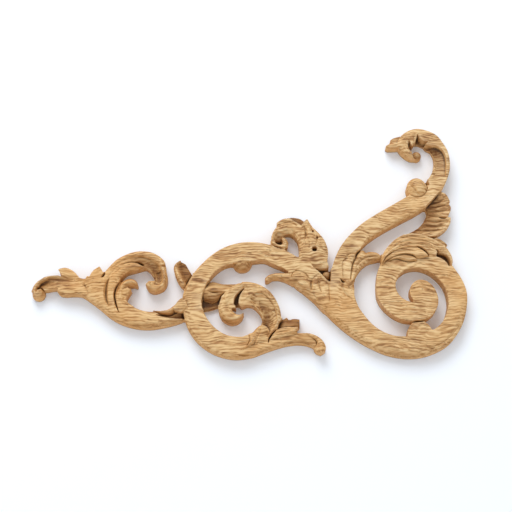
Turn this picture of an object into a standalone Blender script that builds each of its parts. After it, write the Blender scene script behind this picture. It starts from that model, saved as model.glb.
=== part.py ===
# Carved oak corner onlay: an acanthus scroll ornament with a flat back, made to be glued to a surface.
# The back lies in the plane Y = 0, the carving faces -Y, X runs to the right and Z up.
# The origin is on the back, behind the joint of the main stem, the upright stem and the big scroll.

import math

import bpy
import numpy as np

# Driving dimensions, in metres
ONLAY_LENGTH = 0.4335       # curl at the left to the right side of the big scroll
BAND_HEIGHT = 0.0160        # back to the flat face of the stems and scrolls
CROWN_HEIGHT = 0.0205       # back to the highest leaf
LEAF_HEIGHT = 0.0180        # back to the ridges of the leaves
EASE_HEIGHT = 0.0147        # back to the edges of the flat leaves let into the bands
EDGE_HEIGHT = 0.0140        # back to the eased edges of the leaves
BED_HEIGHT = 0.0118         # back to the leaves that lie behind others
DIP_HEIGHT = 0.0095         # back to the shallow scoops
LOW_HEIGHT = 0.0068         # back to the deep scoops
FLOOR_HEIGHT = 0.0042       # back to the lowest webs between the stems
EYE_HEIGHT = 0.0050         # back to the bottom of the drilled eye

CRACK_WIDTH = 0.0013        # half width of the deep cuts between lobes
CRACK_DEPTH = 0.0060
VEIN_WIDTH = 0.0021         # half width of the shallow gouge cuts along the leaves
VEIN_DEPTH = 0.0020
SCORE_WIDTH = 0.0011        # half width of the thin lines that part flat lobes
SCORE_DEPTH = 0.0012
CHAMFER_WIDTH = 0.0040      # chamfer along the lower edges of the flat bands
CHAMFER_DEPTH = 0.0036
RIM_WIDTH = 0.0065          # wide shallow chamfer on the outside of the big scroll
RIM_DEPTH = 0.0034
RUN_OUT = 0.12              # share of a chamfer's length over which it runs out at each end

CARVING_PITCH = 0.0009      # spacing of the points that the surface is worked out on
DOME = 0.75                 # how pointed the knobs are: 0.5 is a half ball, 1.0 a shallow cap
LEAST_GAP = 0.0016          # narrower gaps between the forms stay solid wood
LEAST_SHARE = 0.1           # a grid point keeps at least this share of the pitch from the outline
TRIANGLE_LIMIT = 9600
BACK_SNAP = 0.0004          # points this close to the plane of the back lie in it
SHARP_ANGLE = math.radians(40)

OAK_COLOUR = (0.60, 0.39, 0.20, 1.0)
OAK_ROUGHNESS = 0.62
OAK_METALLIC = 0.0

# The plan below is drawn in units of which the whole length takes this many
DRAWN_LENGTH = 433.5
UNIT = ONLAY_LENGTH / DRAWN_LENGTH
CURVE_STEP = 0.0016         # longest straight run along a drawn curve
GRID_MARGIN = 4             # empty grid cells kept round the plan
PLAN_LEFT = -309.0 * UNIT
PLAN_RIGHT = 127.0 * UNIT
PLAN_LOW = -60.0 * UNIT
PLAN_HIGH = 185.0 * UNIT

band = BAND_HEIGHT
crown = CROWN_HEIGHT
leaf = LEAF_HEIGHT
ease = EASE_HEIGHT
edge = EDGE_HEIGHT
bed = BED_HEIGHT
dip = DIP_HEIGHT
low = LOW_HEIGHT
floor = FLOOR_HEIGHT


def clear_scene():
    for item in list(bpy.data.objects):
        bpy.data.objects.remove(item, do_unlink=True)


def smooth_run(points, step):
    # Centripetal curve through the points, with a point at most every step
    if len(points) < 3:
        return points
    before = 2 * points[0] - points[1]
    after = 2 * points[-1] - points[-2]
    knots = [before, *points, after]
    run = [points[0]]
    for start in range(len(points) - 1):
        p0, p1, p2, p3 = knots[start:start + 4]
        t1 = math.sqrt(np.linalg.norm(p1 - p0))
        t2 = t1 + math.sqrt(np.linalg.norm(p2 - p1))
        t3 = t2 + math.sqrt(np.linalg.norm(p3 - p2))
        count = max(2, math.ceil(np.linalg.norm(p2 - p1) / step))
        for t in np.linspace(t1, t2, count + 1)[1:]:
            a1 = p0 + (p1 - p0) * t / t1
            a2 = p1 + (p2 - p1) * (t - t1) / (t2 - t1)
            a3 = p2 + (p3 - p2) * (t - t2) / (t3 - t2)
            b1 = a1 + (a2 - a1) * t / t2
            b2 = a2 + (a3 - a2) * (t - t1) / (t3 - t1)
            run.append(b1 + (b2 - b1) * (t - t1) / (t2 - t1))
    return run


def curve(drawn):
    # A point drawn twice is a corner between two smooth runs
    points = [np.array(point, float) * UNIT for point in drawn]
    runs = [[points[0]]]
    for point, previous in zip(points[1:], points):
        if np.array_equal(point, previous):
            runs.append([point])
        else:
            runs[-1].append(point)
    line = []
    for run in runs:
        part = smooth_run(run, CURVE_STEP)
        line += part[1:] if line else part
    return np.array(line)


def distance_to(line, x, z):
    # Distance to the nearest point of a line, and how far along the line that point is
    nearest = np.full(x.shape, np.inf)
    along = np.zeros(x.shape)
    for index in range(len(line) - 1):
        ax, az = line[index]
        dx, dz = line[index + 1] - line[index]
        share = np.clip(((x - ax) * dx + (z - az) * dz) / (dx * dx + dz * dz), 0.0, 1.0)
        gap = (x - ax - share * dx) ** 2 + (z - az - share * dz) ** 2
        closer = gap < nearest
        nearest = np.where(closer, gap, nearest)
        along = np.where(closer, index + share, along)
    return np.sqrt(nearest), along / (len(line) - 1)


def inside(outline, x, z):
    # Even-odd test of grid points against a closed outline
    result = np.zeros(x.shape, bool)
    following = np.roll(outline, -1, axis=0)
    for (ax, az), (bx, bz) in zip(outline, following):
        if az != bz:
            crosses = (az > z) != (bz > z)
            result ^= crosses & (x < (bx - ax) * (z - az) / (bz - az) + ax)
    return result


def across(levels, share):
    # Smooth heights over a strip, from the levels at even shares of its width
    levels = np.array(levels, float)
    if len(levels) == 1:
        return np.full(share.shape, levels[0])
    place = share * (len(levels) - 1)
    first = np.clip(place.astype(int), 0, len(levels) - 2)
    part = place - first
    padded = np.concatenate(([levels[0]], levels, [levels[-1]]))
    p0, p1, p2, p3 = (padded[first + offset] for offset in range(4))
    bend = 2 * p0 - 5 * p1 + 4 * p2 - p3 + (3 * (p1 - p2) + p3 - p0) * part
    return p1 + 0.5 * part * (p2 - p0 + part * bend)


def spread(field, reach):
    # The largest value within reach grid points of each one
    for axis in (0, 1):
        field = np.max([np.roll(field, shift, axis) for shift in range(-reach, reach + 1)], axis=0)
    return field


def thin_ends(along):
    return np.sqrt(np.clip(np.sin(math.pi * along), 0.0, 1.0))


def soft_ends(along):
    # Full width all along, but for a short run-out at each end
    return np.clip(np.minimum(along, 1.0 - along) / RUN_OUT, 0.0, 1.0)


class Relief:
    # The carving as two grids: how far inside the plan each point is, and the height over the back

    def __init__(self, pitch):
        self.pitch = pitch
        margin = GRID_MARGIN * pitch
        self.x = np.arange(PLAN_LEFT - margin, PLAN_RIGHT + margin, pitch)
        self.z = np.arange(PLAN_LOW - margin, PLAN_HIGH + margin, pitch)
        shape = (len(self.z), len(self.x))
        self.depth = np.full(shape, -1.0)
        self.height = np.zeros(shape)

    def window(self, line, reach):
        columns = np.searchsorted(self.x, (line[:, 0].min() - reach, line[:, 0].max() + reach))
        rows = np.searchsorted(self.z, (line[:, 1].min() - reach, line[:, 1].max() + reach))
        where = (slice(*rows), slice(*columns))
        x, z = np.meshgrid(self.x[where[1]], self.z[where[0]])
        return where, x, z

    def lay(self, where, depth, height):
        # Lays one form over what is there, with its step spread over one cell
        old_depth = self.depth[where]
        old_height = self.height[where]
        cover = np.clip(depth / self.pitch + 0.5, 0.0, 1.0)
        over = old_height + (height - old_height) * cover
        alone = np.where(depth > old_depth, height, old_height)
        self.height[where] = np.where(old_depth > 0.0, over, alone)
        self.depth[where] = np.maximum(old_depth, depth)

    def form(self, first, second, levels, far):
        # A band between two drawn edges. The levels are its heights from the first edge to the second,
        # where the strip starts, and far where it ends
        first = curve(first)
        second = curve(second)
        outline = np.concatenate((first, second[::-1]))
        where, x, z = self.window(outline, 3 * self.pitch)
        first_gap, first_along = distance_to(first, x, z)
        second_gap, second_along = distance_to(second, x, z)
        gap = np.minimum(first_gap, second_gap)
        for end in (0, -1):
            if not np.allclose(first[end], second[end]):
                gap = np.minimum(gap, distance_to(np.array((first[end], second[end])), x, z)[0])
        share = first_gap / (first_gap + second_gap + 1e-9)
        height = across(levels, share)
        if far is not None:
            along = 0.5 * (first_along + second_along)
            height = height + (across(far, share) - height) * along
        return where, np.where(inside(outline, x, z), gap, -gap), height

    def strip(self, first, second, levels, far=None):
        self.lay(*self.form(first, second, levels, far))

    def hollow(self, first, second, levels, far=None):
        # A strip that only changes heights, so it may run past the edge of the plan
        where, depth, height = self.form(first, second, levels, far)
        cover = np.clip(depth / self.pitch + 0.5, 0.0, 1.0)
        self.height[where] += (height - self.height[where]) * cover

    def boss(self, centre, radius, foot, top):
        # A round knob, domed from foot at its rim to top
        centre = np.array(centre) * UNIT
        radius = radius * UNIT
        ring = np.array((centre - radius, centre + radius))
        where, x, z = self.window(ring, 3 * self.pitch)
        gap = np.hypot(x - centre[0], z - centre[1])
        dome = np.clip(1.0 - (gap / radius) ** 2, 0.0, 1.0) ** DOME
        self.lay(where, radius - gap, foot + (top - foot) * dome)

    def pit(self, centre, radius, bottom):
        centre = np.array(centre) * UNIT
        radius = radius * UNIT
        ring = np.array((centre - radius, centre + radius))
        where, x, z = self.window(ring, 3 * self.pitch)
        cover = np.clip((radius - np.hypot(x - centre[0], z - centre[1])) / self.pitch + 0.5, 0.0, 1.0)
        self.height[where] += (np.minimum(bottom, self.height[where]) - self.height[where]) * cover

    def close_slits(self):
        reach = max(1, round(0.5 * LEAST_GAP / self.pitch))
        self.depth = -spread(-spread(self.depth, reach), reach)

    def cut(self, drawn, width, depth, swell):
        # A V cut along a drawn line, as wide and deep at each point as its swell there says
        line = curve(drawn)
        where, x, z = self.window(line, width)
        gap, along = distance_to(line, x, z)
        swell = swell(along)
        fall = np.clip(1.0 - gap / (width * swell + 1e-6), 0.0, 1.0)
        lowest = np.minimum(FLOOR_HEIGHT, self.height[where])
        self.height[where] = np.maximum(self.height[where] - depth * swell * fall, lowest)

    def crack(self, drawn):
        self.cut(drawn, CRACK_WIDTH, CRACK_DEPTH, thin_ends)

    def vein(self, drawn):
        self.cut(drawn, VEIN_WIDTH, VEIN_DEPTH, thin_ends)

    def score(self, drawn):
        self.cut(drawn, SCORE_WIDTH, SCORE_DEPTH, thin_ends)

    def chamfer(self, drawn, width=CHAMFER_WIDTH, depth=CHAMFER_DEPTH):
        self.cut(drawn, width, depth, soft_ends)


def carve_left_leaf(relief):
    # Stem that comes from behind the C scroll and opens into the leaf at the left
    relief.strip([(-146, -14), (-160, -20.8), (-175, -25), (-190, -27.2), (-205, -25.8), (-216, -22.5),
                  (-230, -14.5)],
                 [(-146, -6), (-160, -9), (-176, -11), (-190, -11.6), (-200, -9.4), (-207, -5.6), (-216, 2)],
                 (edge, band, band, edge), (band, band, band, band))
    # Body of the leaf
    relief.strip([(-208, -25), (-218, -21.8), (-229, -15.5), (-240, -6.4), (-250, 1.2), (-258, 6.5)],
                 [(-205, -6.5), (-211.5, -2), (-213, 3), (-216, 14), (-226, 24), (-238, 24), (-248, 20),
                  (-256, 20)],
                 (band, band, band))
    # Side lobes of the tail, the tail itself and the curl at its end
    relief.strip([(-254, 14), (-260.5, 24), (-267.5, 31), (-275, 34), (-281.8, 32.6)],
                 [(-258, 14), (-268, 20), (-275, 23.5), (-279.4, 28), (-281.8, 32.6)],
                 (band, band, band), (edge, edge, edge))
    relief.strip([(-250, 3), (-262, 9), (-275, 12), (-285, 12.7), (-292, 11.5), (-299, 11.5)],
                 [(-250, 22), (-257, 22.5), (-266, 25.5), (-275, 26), (-285, 26.3), (-291, 25.8), (-297, 24),
                  (-301, 20.5)],
                 (band, band, band, band), (bed, dip, low, bed))
    relief.strip([(-252, 5), (-260, 6.6), (-268, 6.8), (-274, 6.4), (-279, 7.2), (-282, 10)],
                 [(-252, 12), (-262, 13.4), (-271, 14.2), (-277, 13.6), (-282, 10)],
                 (band, band, band), (bed, edge, edge))
    relief.boss((-301.3, 8.6), 6.4, floor, band)
    relief.strip([(-292, 25.5), (-301, 21.3), (-305.5, 16), (-307.7, 10)],
                 [(-292, 22.5), (-299, 19), (-301.5, 14.5), (-302, 9)],
                 (bed, edge, bed))
    relief.pit((-301.3, 13), 1.4, low)
    relief.pit((-279.6, 26.8), 1.2, low)
    # Short lobes on the upper edge
    relief.strip([(-257, 16), (-254.6, 21), (-252.4, 25.2)], [(-247, 16), (-250, 21.5), (-252.4, 25.2)],
                 (band, band, band))
    relief.strip([(-252, 14), (-250.5, 23), (-247, 30), (-240.5, 35)],
                 [(-234, 18), (-236, 26), (-237.5, 30.5), (-240.5, 35)],
                 (band, band, band))
    # Arch, hollowed under its rim, and the bulb that it rolls down into
    relief.strip([(-237, 14), (-237, 22), (-235, 28.5), (-231, 34), (-224, 41.5), (-215, 47), (-206, 50.2),
                  (-197, 51), (-188, 49.5), (-180, 45), (-175.3, 39.5), (-174.3, 34), (-173, 27),
                  (-172.5, 21)],
                 [(-226, 8), (-223, 16), (-218, 24), (-212, 30), (-205, 33.5), (-198, 34.7), (-192, 32.7),
                  (-188, 28.2), (-185.4, 23)],
                 (band, band, band, band, edge), (edge, band, dip, low, dip))
    relief.strip([(-174.3, 33), (-172.7, 26), (-172.8, 19.5), (-175.5, 13.8), (-180, 10.8), (-186, 9.5),
                  (-191, 11.5), (-194, 16)],
                 [(-186, 29), (-184.5, 25), (-184.6, 21.5), (-187, 20.4), (-191, 20.2), (-194, 16)],
                 (edge, band, dip, low, dip), (bed, band, leaf, leaf, edge))
    # Second lobe, laid over the hollow
    relief.strip([(-238, 10), (-232, 24), (-222, 34.5), (-210, 39.3), (-202, 38.2), (-196.5, 34)],
                 [(-227, 3), (-223.6, 13), (-219, 22.5), (-213, 28.8), (-205, 31.3), (-196.5, 34)],
                 (band, band, band, band), (edge, leaf, leaf, edge))
    # Third lobe with its hook and tooth
    relief.strip([(-224, -12), (-223.5, 4), (-221, 14), (-216.5, 20.2), (-210, 22.8), (-205, 21.5),
                  (-202, 17.8), (-202.5, 14.8)],
                 [(-208, -10), (-213.5, 2), (-214.5, 10.5), (-212, 14), (-207, 16), (-202.5, 14.8)],
                 (band, band, band), (bed, leaf, bed))
    relief.strip([(-217, 12), (-212, 12.4), (-208, 11.2)], [(-215, 0), (-211.5, 5), (-208, 11.2)],
                 (band, band, edge))
    relief.cut([(-230, 23.5), (-232.4, 17), (-233.3, 9), (-232.5, 1), (-229.8, -6)],
               1.2 * VEIN_WIDTH, 2 * VEIN_DEPTH, thin_ends)
    relief.crack([(-214.9, 23.8), (-219.7, 18.7), (-223.4, 12.3), (-224.5, 5), (-223.4, -2),
                  (-219.3, -13.2)])
    relief.crack([(-235, 29), (-236, 26), (-238.5, 23.5)])
    relief.crack([(-206, 40), (-201, 39.7), (-196, 37)])
    relief.crack([(-171.5, 37.4), (-175, 36.2), (-179, 35)])
    relief.vein([(-229, 32), (-220, 39.5), (-210, 43.8), (-199, 45), (-188, 42)])
    relief.vein([(-226, 27), (-218, 34), (-208, 36.5)])
    relief.score([(-256, 18.5), (-253, 12.5), (-250.5, 7)])
    relief.chamfer([(-258, 6.5), (-250, 1.2), (-240, -6.4), (-229, -15.5), (-218, -21.8), (-205, -25.8),
                    (-190, -27.2), (-175, -25), (-160, -20.8), (-146, -14)])
    # Hollow under the bud, and the bud where the leaf springs from the scroll
    relief.hollow([(-183, -15), (-176, -13.6), (-167.6, -12.5), (-154, -12)],
                  [(-183, -15), (-176, -17), (-167.5, -18.4), (-154, -18)],
                  (edge, bed, edge), (dip, low, dip))
    relief.strip([(-186, -10.5), (-178, -10), (-171, -8.5), (-165, -4), (-160, 1), (-154, 5)],
                 [(-186, -10.5), (-178, -14.5), (-170, -15), (-162, -12), (-152, -9)],
                 (bed, band, bed, low))


def carve_scroll_bud(relief):
    # Small lobe of the bud that laps over the edge of the C scroll
    relief.strip([(-166, -8), (-162, -2), (-157.5, 1.8), (-153.5, -1.5), (-151.8, -8)],
                 [(-164.5, -11), (-158, -11.5), (-151.8, -8)], (leaf, leaf, band))


def carve_back_leaf(relief):
    # Leaf that stands behind the left side of the C scroll
    relief.strip([(-153, 10), (-161, 19), (-165.3, 28), (-166.4, 35), (-164, 39.6), (-159.5, 42)],
                 [(-144, 22), (-149, 29.5), (-152.3, 35), (-155, 39.5), (-159.5, 42)],
                 (bed, edge, dip, low, low, low))


def carve_inner_volute(relief):
    # Stem, small leaf and low webs that carry the volute inside the C scroll
    relief.strip([(-141, 0), (-130, 3), (-118, 3)], [(-140, -9), (-128, -7), (-119, -3)], (floor, floor))
    relief.strip([(-140, 17), (-127, 20.2), (-118, 18.2), (-105, 18.2), (-92, 19)],
                 [(-142, 6), (-128, 7), (-116, 6), (-100, 8)], (dip, bed, edge, dip))
    relief.strip([(-142, 8), (-134, 9.5), (-126, 8), (-115, 8.5)],
                 [(-142, 3), (-134, 1), (-127, -0.5), (-121, 2.5), (-115, 8.5)], (edge, bed, low))
    relief.strip([(-94, 16), (-106, 5), (-106, -4)], [(-92, 10), (-98, 3), (-99.5, -4)], (floor, floor))
    # Outer lobe with its tooth, and the curl below it
    relief.strip([(-94, 19.2), (-103, 17.5), (-111, 12.5), (-117, 6), (-120, 0), (-121.5, -9)],
                 [(-96.3, 12.7), (-102, 8), (-105.3, 3), (-106, -2.5), (-103.8, -8.3), (-103.8, -8.3),
                  (-109.6, -6.6)],
                 (edge, band, band, edge), (edge, band, edge, edge))
    relief.strip([(-121.5, -6), (-120.5, -12.5), (-117.5, -18), (-113, -21.5), (-107.5, -22.9),
                  (-102, -21.4), (-97.8, -17.5), (-96, -12.8)],
                 [(-109.6, -6), (-108, -10), (-105, -13), (-101.4, -14.6), (-98, -13.4), (-96, -12.8)],
                 (edge, band, band, edge), (floor, edge, band, edge))
    # Inner lobe, hollowed inside its rim
    relief.strip([(-98, 19.2), (-92, 19.3), (-85, 18), (-77, 14.5), (-70, 9), (-65, 2), (-61.3, -6),
                  (-59.5, -14), (-59.5, -21), (-62, -28), (-67, -35), (-72, -41)],
                 [(-96, 12.5), (-100, 6.5), (-101.5, 1), (-101.5, -3), (-98.5, -6.2), (-94, -4.6),
                  (-89, -4.6), (-84, -8), (-79.5, -13.5), (-78, -19), (-79.5, -25), (-83, -31),
                  (-84, -38)],
                 (edge, band, band, edge, edge), (edge, band, edge, dip, dip))
    relief.hollow([(-90, 3), (-84.5, 7.6), (-79, 8), (-73.6, 4.5), (-68.6, -1), (-65.3, -7.5),
                   (-63.6, -14), (-63.8, -21), (-67, -29), (-72, -36)],
                  [(-90, 3), (-88.5, -1), (-85.5, -5.5), (-80.5, -11.5), (-78, -15.5), (-77.8, -20.5),
                   (-79.2, -26), (-84, -33)],
                  (edge, edge, bed, edge), (edge, dip, low, dip))


def carve_c_scroll(relief):
    # Flat band of the C scroll, open to the lower right, and the long leaf that runs on from its bottom
    outer = [(-86, -55), (-95, -56.8), (-104, -57.5), (-114, -56.2), (-125, -52.6), (-135, -46.8),
             (-144, -38.5), (-150.5, -29), (-154.8, -18), (-157, -6), (-157, 4), (-155, 12), (-151, 21),
             (-145, 30.3), (-137, 39.5), (-127, 48.2), (-115, 55), (-103, 59), (-91, 60.4), (-80, 59.6),
             (-68, 56.6), (-55, 51.2)]
    relief.boss((-98, 41.5), 9.8, low, band)
    relief.strip(outer,
                 [(-84, -36), (-91, -35), (-98, -37), (-107, -36.7), (-115, -34.5), (-122.5, -29.8),
                  (-129, -23.5), (-134, -16), (-137.3, -7), (-138, 1), (-136.5, 8.5), (-133.5, 16.5),
                  (-129, 24.5), (-123, 31), (-115, 36.3), (-105, 38.6), (-95, 39.5), (-86, 41), (-76, 41.5),
                  (-66, 37), (-56, 32.8), (-46.5, 26)],
                 (band, band))
    relief.strip([(-63, -29), (-61, -22), (-58, -18.6), (-53.8, -15.4), (-53.8, -15.4), (-51.4, -18.4),
                  (-51.4, -18.4), (-47.1, -17), (-41, -17.4)],
                 [(-66, -36), (-55, -32), (-46, -30), (-41, -26.3)], (low, dip, low))
    relief.strip([(-106, -54.5), (-97, -49.5), (-86, -44), (-70, -39), (-56, -36), (-44, -33.2), (-36, -32.9),
                  (-31, -34), (-26, -38), (-24.5, -42.5), (-26.5, -47)],
                 [(-106, -54.5), (-98, -56), (-90, -55.9), (-86, -55), (-78, -51.8), (-67, -47.8),
                  (-56, -44.5), (-45, -42.8), (-36, -43.2), (-30, -45), (-26.5, -47)],
                 (band, band, band, edge), (bed, bed, bed, dip))
    relief.chamfer([(-56, -44.5), (-67, -47.8), (-78, -51.8), *outer[:17]],
                   0.7 * CHAMFER_WIDTH, 0.7 * CHAMFER_DEPTH)


def carve_c_scroll_leaves(relief):
    # Leaf over the end of the flat band, and the lobe that follows it
    relief.strip([(-100, -51.5), (-93.8, -47.1), (-90.9, -40.6), (-91.5, -34), (-91.5, -34), (-87.5, -32.6),
                  (-85, -29.6), (-85, -29.6), (-82.2, -26.9), (-78.2, -24.5)],
                 [(-98.5, -50.6), (-89, -45.8), (-79, -42), (-71.3, -39.2), (-72.1, -34.7), (-70.9, -31.1),
                  (-73.5, -26.5), (-78.2, -24.5)],
                 (ease, leaf, band), (edge, leaf, edge))
    relief.strip([(-76, -41.4), (-71.3, -39.4), (-67.2, -32.4), (-61.4, -28.5), (-53.2, -26.7),
                  (-42.6, -27.3)],
                 [(-76, -41.4), (-66, -38.6), (-54, -36), (-45, -33.6), (-42.6, -27.3)],
                 (ease, band, band), (edge, leaf, edge))
    # Curl at the end of the tail
    relief.strip([(-38, -33), (-32, -33.2), (-25.4, -35.4), (-19.1, -40), (-15.8, -46), (-16, -50.3),
                  (-20.3, -53.4)],
                 [(-36, -33.4), (-31, -35.6), (-26.4, -38.6), (-24, -42), (-24.4, -45.8), (-26.9, -48),
                  (-24.8, -51.4), (-20.3, -53.4)],
                 (edge, edge, edge), (edge, band, edge))
    relief.score([(-30, -37), (-24.8, -40.6), (-24.2, -45), (-27.4, -48.6)])
    relief.crack([(-64, -29.5), (-68.3, -34), (-71.2, -39), (-72, -43)])
    relief.vein([(-87, -46), (-83, -38), (-79, -29)])
    relief.vein([(-70, -38), (-62, -33), (-54, -31), (-46, -30)])


def carve_main_stem(relief):
    # Thin leaf tip at the middle, then the flat stem down to the big scroll
    relief.strip([(-74.6, 20), (-75.2, 23.4), (-72.4, 26.4), (-67, 28.4), (-60, 28.7), (-54, 28), (-49, 27)],
                 [(-74.6, 20), (-71.6, 20.6), (-68, 23.2), (-62, 23.6), (-55, 21.5), (-47, 17.4)],
                 (dip, edge, dip), (band, band, band))
    relief.strip([(-62, 55), (-50, 49), (-38, 41.5), (-29, 36), (-20, 28.5), (-10, 19.5), (-6, 36), (6, 46),
                  (14, 46)],
                 [(-52, 30), (-47.5, 20), (-45, 16), (-35, 8), (-25, -1.2), (-15, -11.2), (0, -12),
                  (13, 5)],
                 (band, band))


def carve_big_scroll(relief):
    # One flat band that winds in to the round eye of the scroll
    outer = [(-25, -1.2), (-15, -11.2), (-5, -21.5), (6, -31.2), (18, -39.8), (31.5, -47.4), (46, -53.4),
             (62, -56.3), (78, -55.6), (93, -50.8), (106, -43), (116, -31), (122, -18), (125, -4),
             (125, 8), (121.8, 19), (116, 29.5), (110, 37.5), (98, 46), (80, 50), (58, 49), (44, 42),
             (38, 32), (36, 22), (35.5, 12), (36.3, 4), (40, -4), (46, -11), (54, -17), (63, -20.6),
             (73, -21.6), (83, -19.8), (90.5, -14.5), (95.2, -7), (96.5, 1), (94.5, 9.5), (90, 16.5),
             (83.5, 20.6), (77, 20.8), (71.8, 17.4), (69, 12.5), (68.6, 7.5)]
    inner = [(-12, 16), (12.5, 14), (13.5, 5), (17, -6), (23, -15.5), (31, -25), (41, -32), (52, -36),
             (65, -36.8), (78, -36), (90, -30.5), (98, -24), (103.5, -15), (106.2, -5), (106, 4),
             (103, 14.5), (97, 23), (88.5, 29.8), (78.5, 33.3), (68.5, 32.5), (60.5, 28), (56, 21.5),
             (54.5, 14.5), (56.3, 8), (60, 3), (65.5, -0.6), (73.4, -2.6), (73.4, -2.6), (70.4, 2.6),
             (68.6, 7.5)]
    relief.strip(outer, inner, (band, band))
    relief.boss((77, -33.2), 12, band, band)
    relief.chamfer([(-66, 23.3), (-62, 23.6), (-55, 21.5), (-45, 16), (-35, 8), *outer[:10]])
    relief.chamfer(outer[5:15], RIM_WIDTH, RIM_DEPTH)
    relief.score([(118.3, -17), (117.3, -22.9), (112.2, -31), (104.8, -38.6), (96.8, -43.9), (87.2, -47.4),
                  (76, -49.4)])
    relief.crack([(66, -23), (72, -21.8), (82, -20.5), (88, -17)])


def carve_upright_stem(relief):
    # Upright stem that sweeps up to the right and over into the curl at the top
    lower = [(12.5, 12), (13.5, 26), (14.5, 38), (16, 47), (21, 54.5), (28, 61.7), (37, 68.5),
             (50, 76.5), (66, 85.3), (80, 93), (89, 99.4), (98, 109), (105.8, 118.5), (110.7, 128),
             (113.7, 138), (114.2, 148), (112.3, 158.5), (107.8, 167.3), (100.8, 175.4)]
    relief.strip([(-10, 17), (-9.3, 28), (-7, 38), (-3.2, 48), (2.6, 58.5), (10.6, 68.4), (22, 79.3),
                  (36, 89), (52, 98.6), (68, 108.1), (80, 116), (88.7, 124.5), (94.4, 132.5), (98, 141.5),
                  (99.2, 150), (98.2, 156.5), (95, 162), (90.3, 167.3)],
                 lower, (band, band))
    relief.chamfer(lower[4:11], 0.6 * CHAMFER_WIDTH, 0.6 * CHAMFER_DEPTH)


def carve_top_curl(relief):
    # Head of the curl, with two side lobes and a small scroll at its end
    relief.strip([(73, 173), (82, 179), (94, 172)], [(72.5, 166), (77, 168.3), (83, 169), (91, 165.5)],
                 (floor, floor))
    relief.strip([(66, 177), (58, 174.8), (54.6, 172.4), (54.4, 170.3)], [(68, 167), (60, 168),
                 (54.4, 170.3)], (dip, bed))
    relief.strip([(112.3, 158.5), (107.8, 167.3), (102.4, 175.4), (94, 180.6), (84, 183.4), (76, 182.4),
                  (68.5, 178.5), (63.2, 172.5), (61.5, 166.5), (64.3, 160), (68, 155.9), (72, 152.8),
                  (76.6, 151.3), (81.5, 152.2), (85.3, 156.5)],
                 [(97, 161), (92, 163), (89.7, 166), (92.2, 169), (92.2, 169), (87.5, 169.8), (84.5, 172.2),
                  (82.3, 176.5), (82.3, 176.5), (80, 169.5), (76.5, 164.5), (76.5, 164.5), (73.3, 170),
                  (73.3, 170), (72.3, 164.5), (73.8, 159.6), (78, 155.8), (85.3, 156.5)],
                 (band, band, band), (bed, edge, band, edge))
    relief.strip([(69, 175), (63, 168.8), (57.1, 167), (52, 166.2), (49.4, 164.2)],
                 [(70, 164), (63, 163.2), (56.7, 162.8), (51.7, 162.8), (49.4, 164.2)],
                 (band, band, band), (edge, band, edge))
    relief.boss((81.2, 155.8), 4.8, low, bed)
    relief.score([(84.4, 158.6), (80.6, 159.4), (78.4, 156.4), (80.2, 153.6), (82.4, 155.2)])
    # Hollow of the stem, up to the lip under the curl
    relief.hollow([(95, 131), (96.5, 138), (97.2, 145), (96, 152), (93.2, 157.5), (89.6, 161.6),
                   (88.6, 164.4), (89.8, 166.4)],
                  [(109.3, 131), (109.8, 138), (110.2, 146.5), (109.6, 153.3), (107.3, 158.7), (102, 163.5),
                   (95, 164.9), (89.8, 166.4)],
                  (band, edge, edge, edge), (low, floor, floor, low))


def carve_ball_curl(relief):
    relief.strip([(79, 130), (84.5, 130.6), (90.5, 127)], [(80, 126), (85, 124), (92, 121)], (floor, floor))
    relief.boss((79.8, 118.6), 10.6, edge, crown)
    relief.crack([(79.5, 129.6), (84, 128.2), (87.6, 125), (90, 120)])
    relief.vein([(72, 120), (76, 117), (79, 112), (83, 109.5)])


def carve_fan(relief):
    # Leaf behind the upright stem, with three pointed lobes to the right, and the web at its foot
    relief.strip([(82, 72), (97, 70)], [(82, 60), (99, 60)], (floor, floor))
    relief.strip([(95, 110), (88, 102.5), (88.7, 97), (89.8, 92.7), (88, 88.6), (85, 83), (81, 78.6),
                  (76, 75), (71, 72.5), (64, 68.5)],
                 [(104, 114.5), (108.5, 112.5), (111.3, 108), (112.6, 103.5), (111.3, 101.3),
                  (111.3, 101.3), (113.2, 98.5), (112.8, 94), (110.5, 90), (106.5, 86.8), (106.5, 86.8),
                  (109.5, 87.7), (112.8, 86.8), (112.8, 86.8), (112, 81), (108.5, 76), (103.5, 71.8),
                  (97, 67.5), (97, 67.5), (85, 66)],
                 (low, dip, bed, edge))
    for stripe in ([(110, 109), (101, 104.8), (92, 103.4)], [(112, 101.6), (101, 99.6), (91, 99)],
                   [(112.6, 96), (101, 94.6), (91, 95)], [(108, 87), (100, 89.2), (90.5, 91)],
                   [(112, 84), (98, 83.6), (88, 86)], [(109, 79), (95, 78.6), (84, 80)],
                   [(105, 74), (91, 73.8), (78, 75)]):
        relief.vein(stripe)
    relief.crack([(109, 87), (105.5, 87), (101, 88)])


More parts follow.
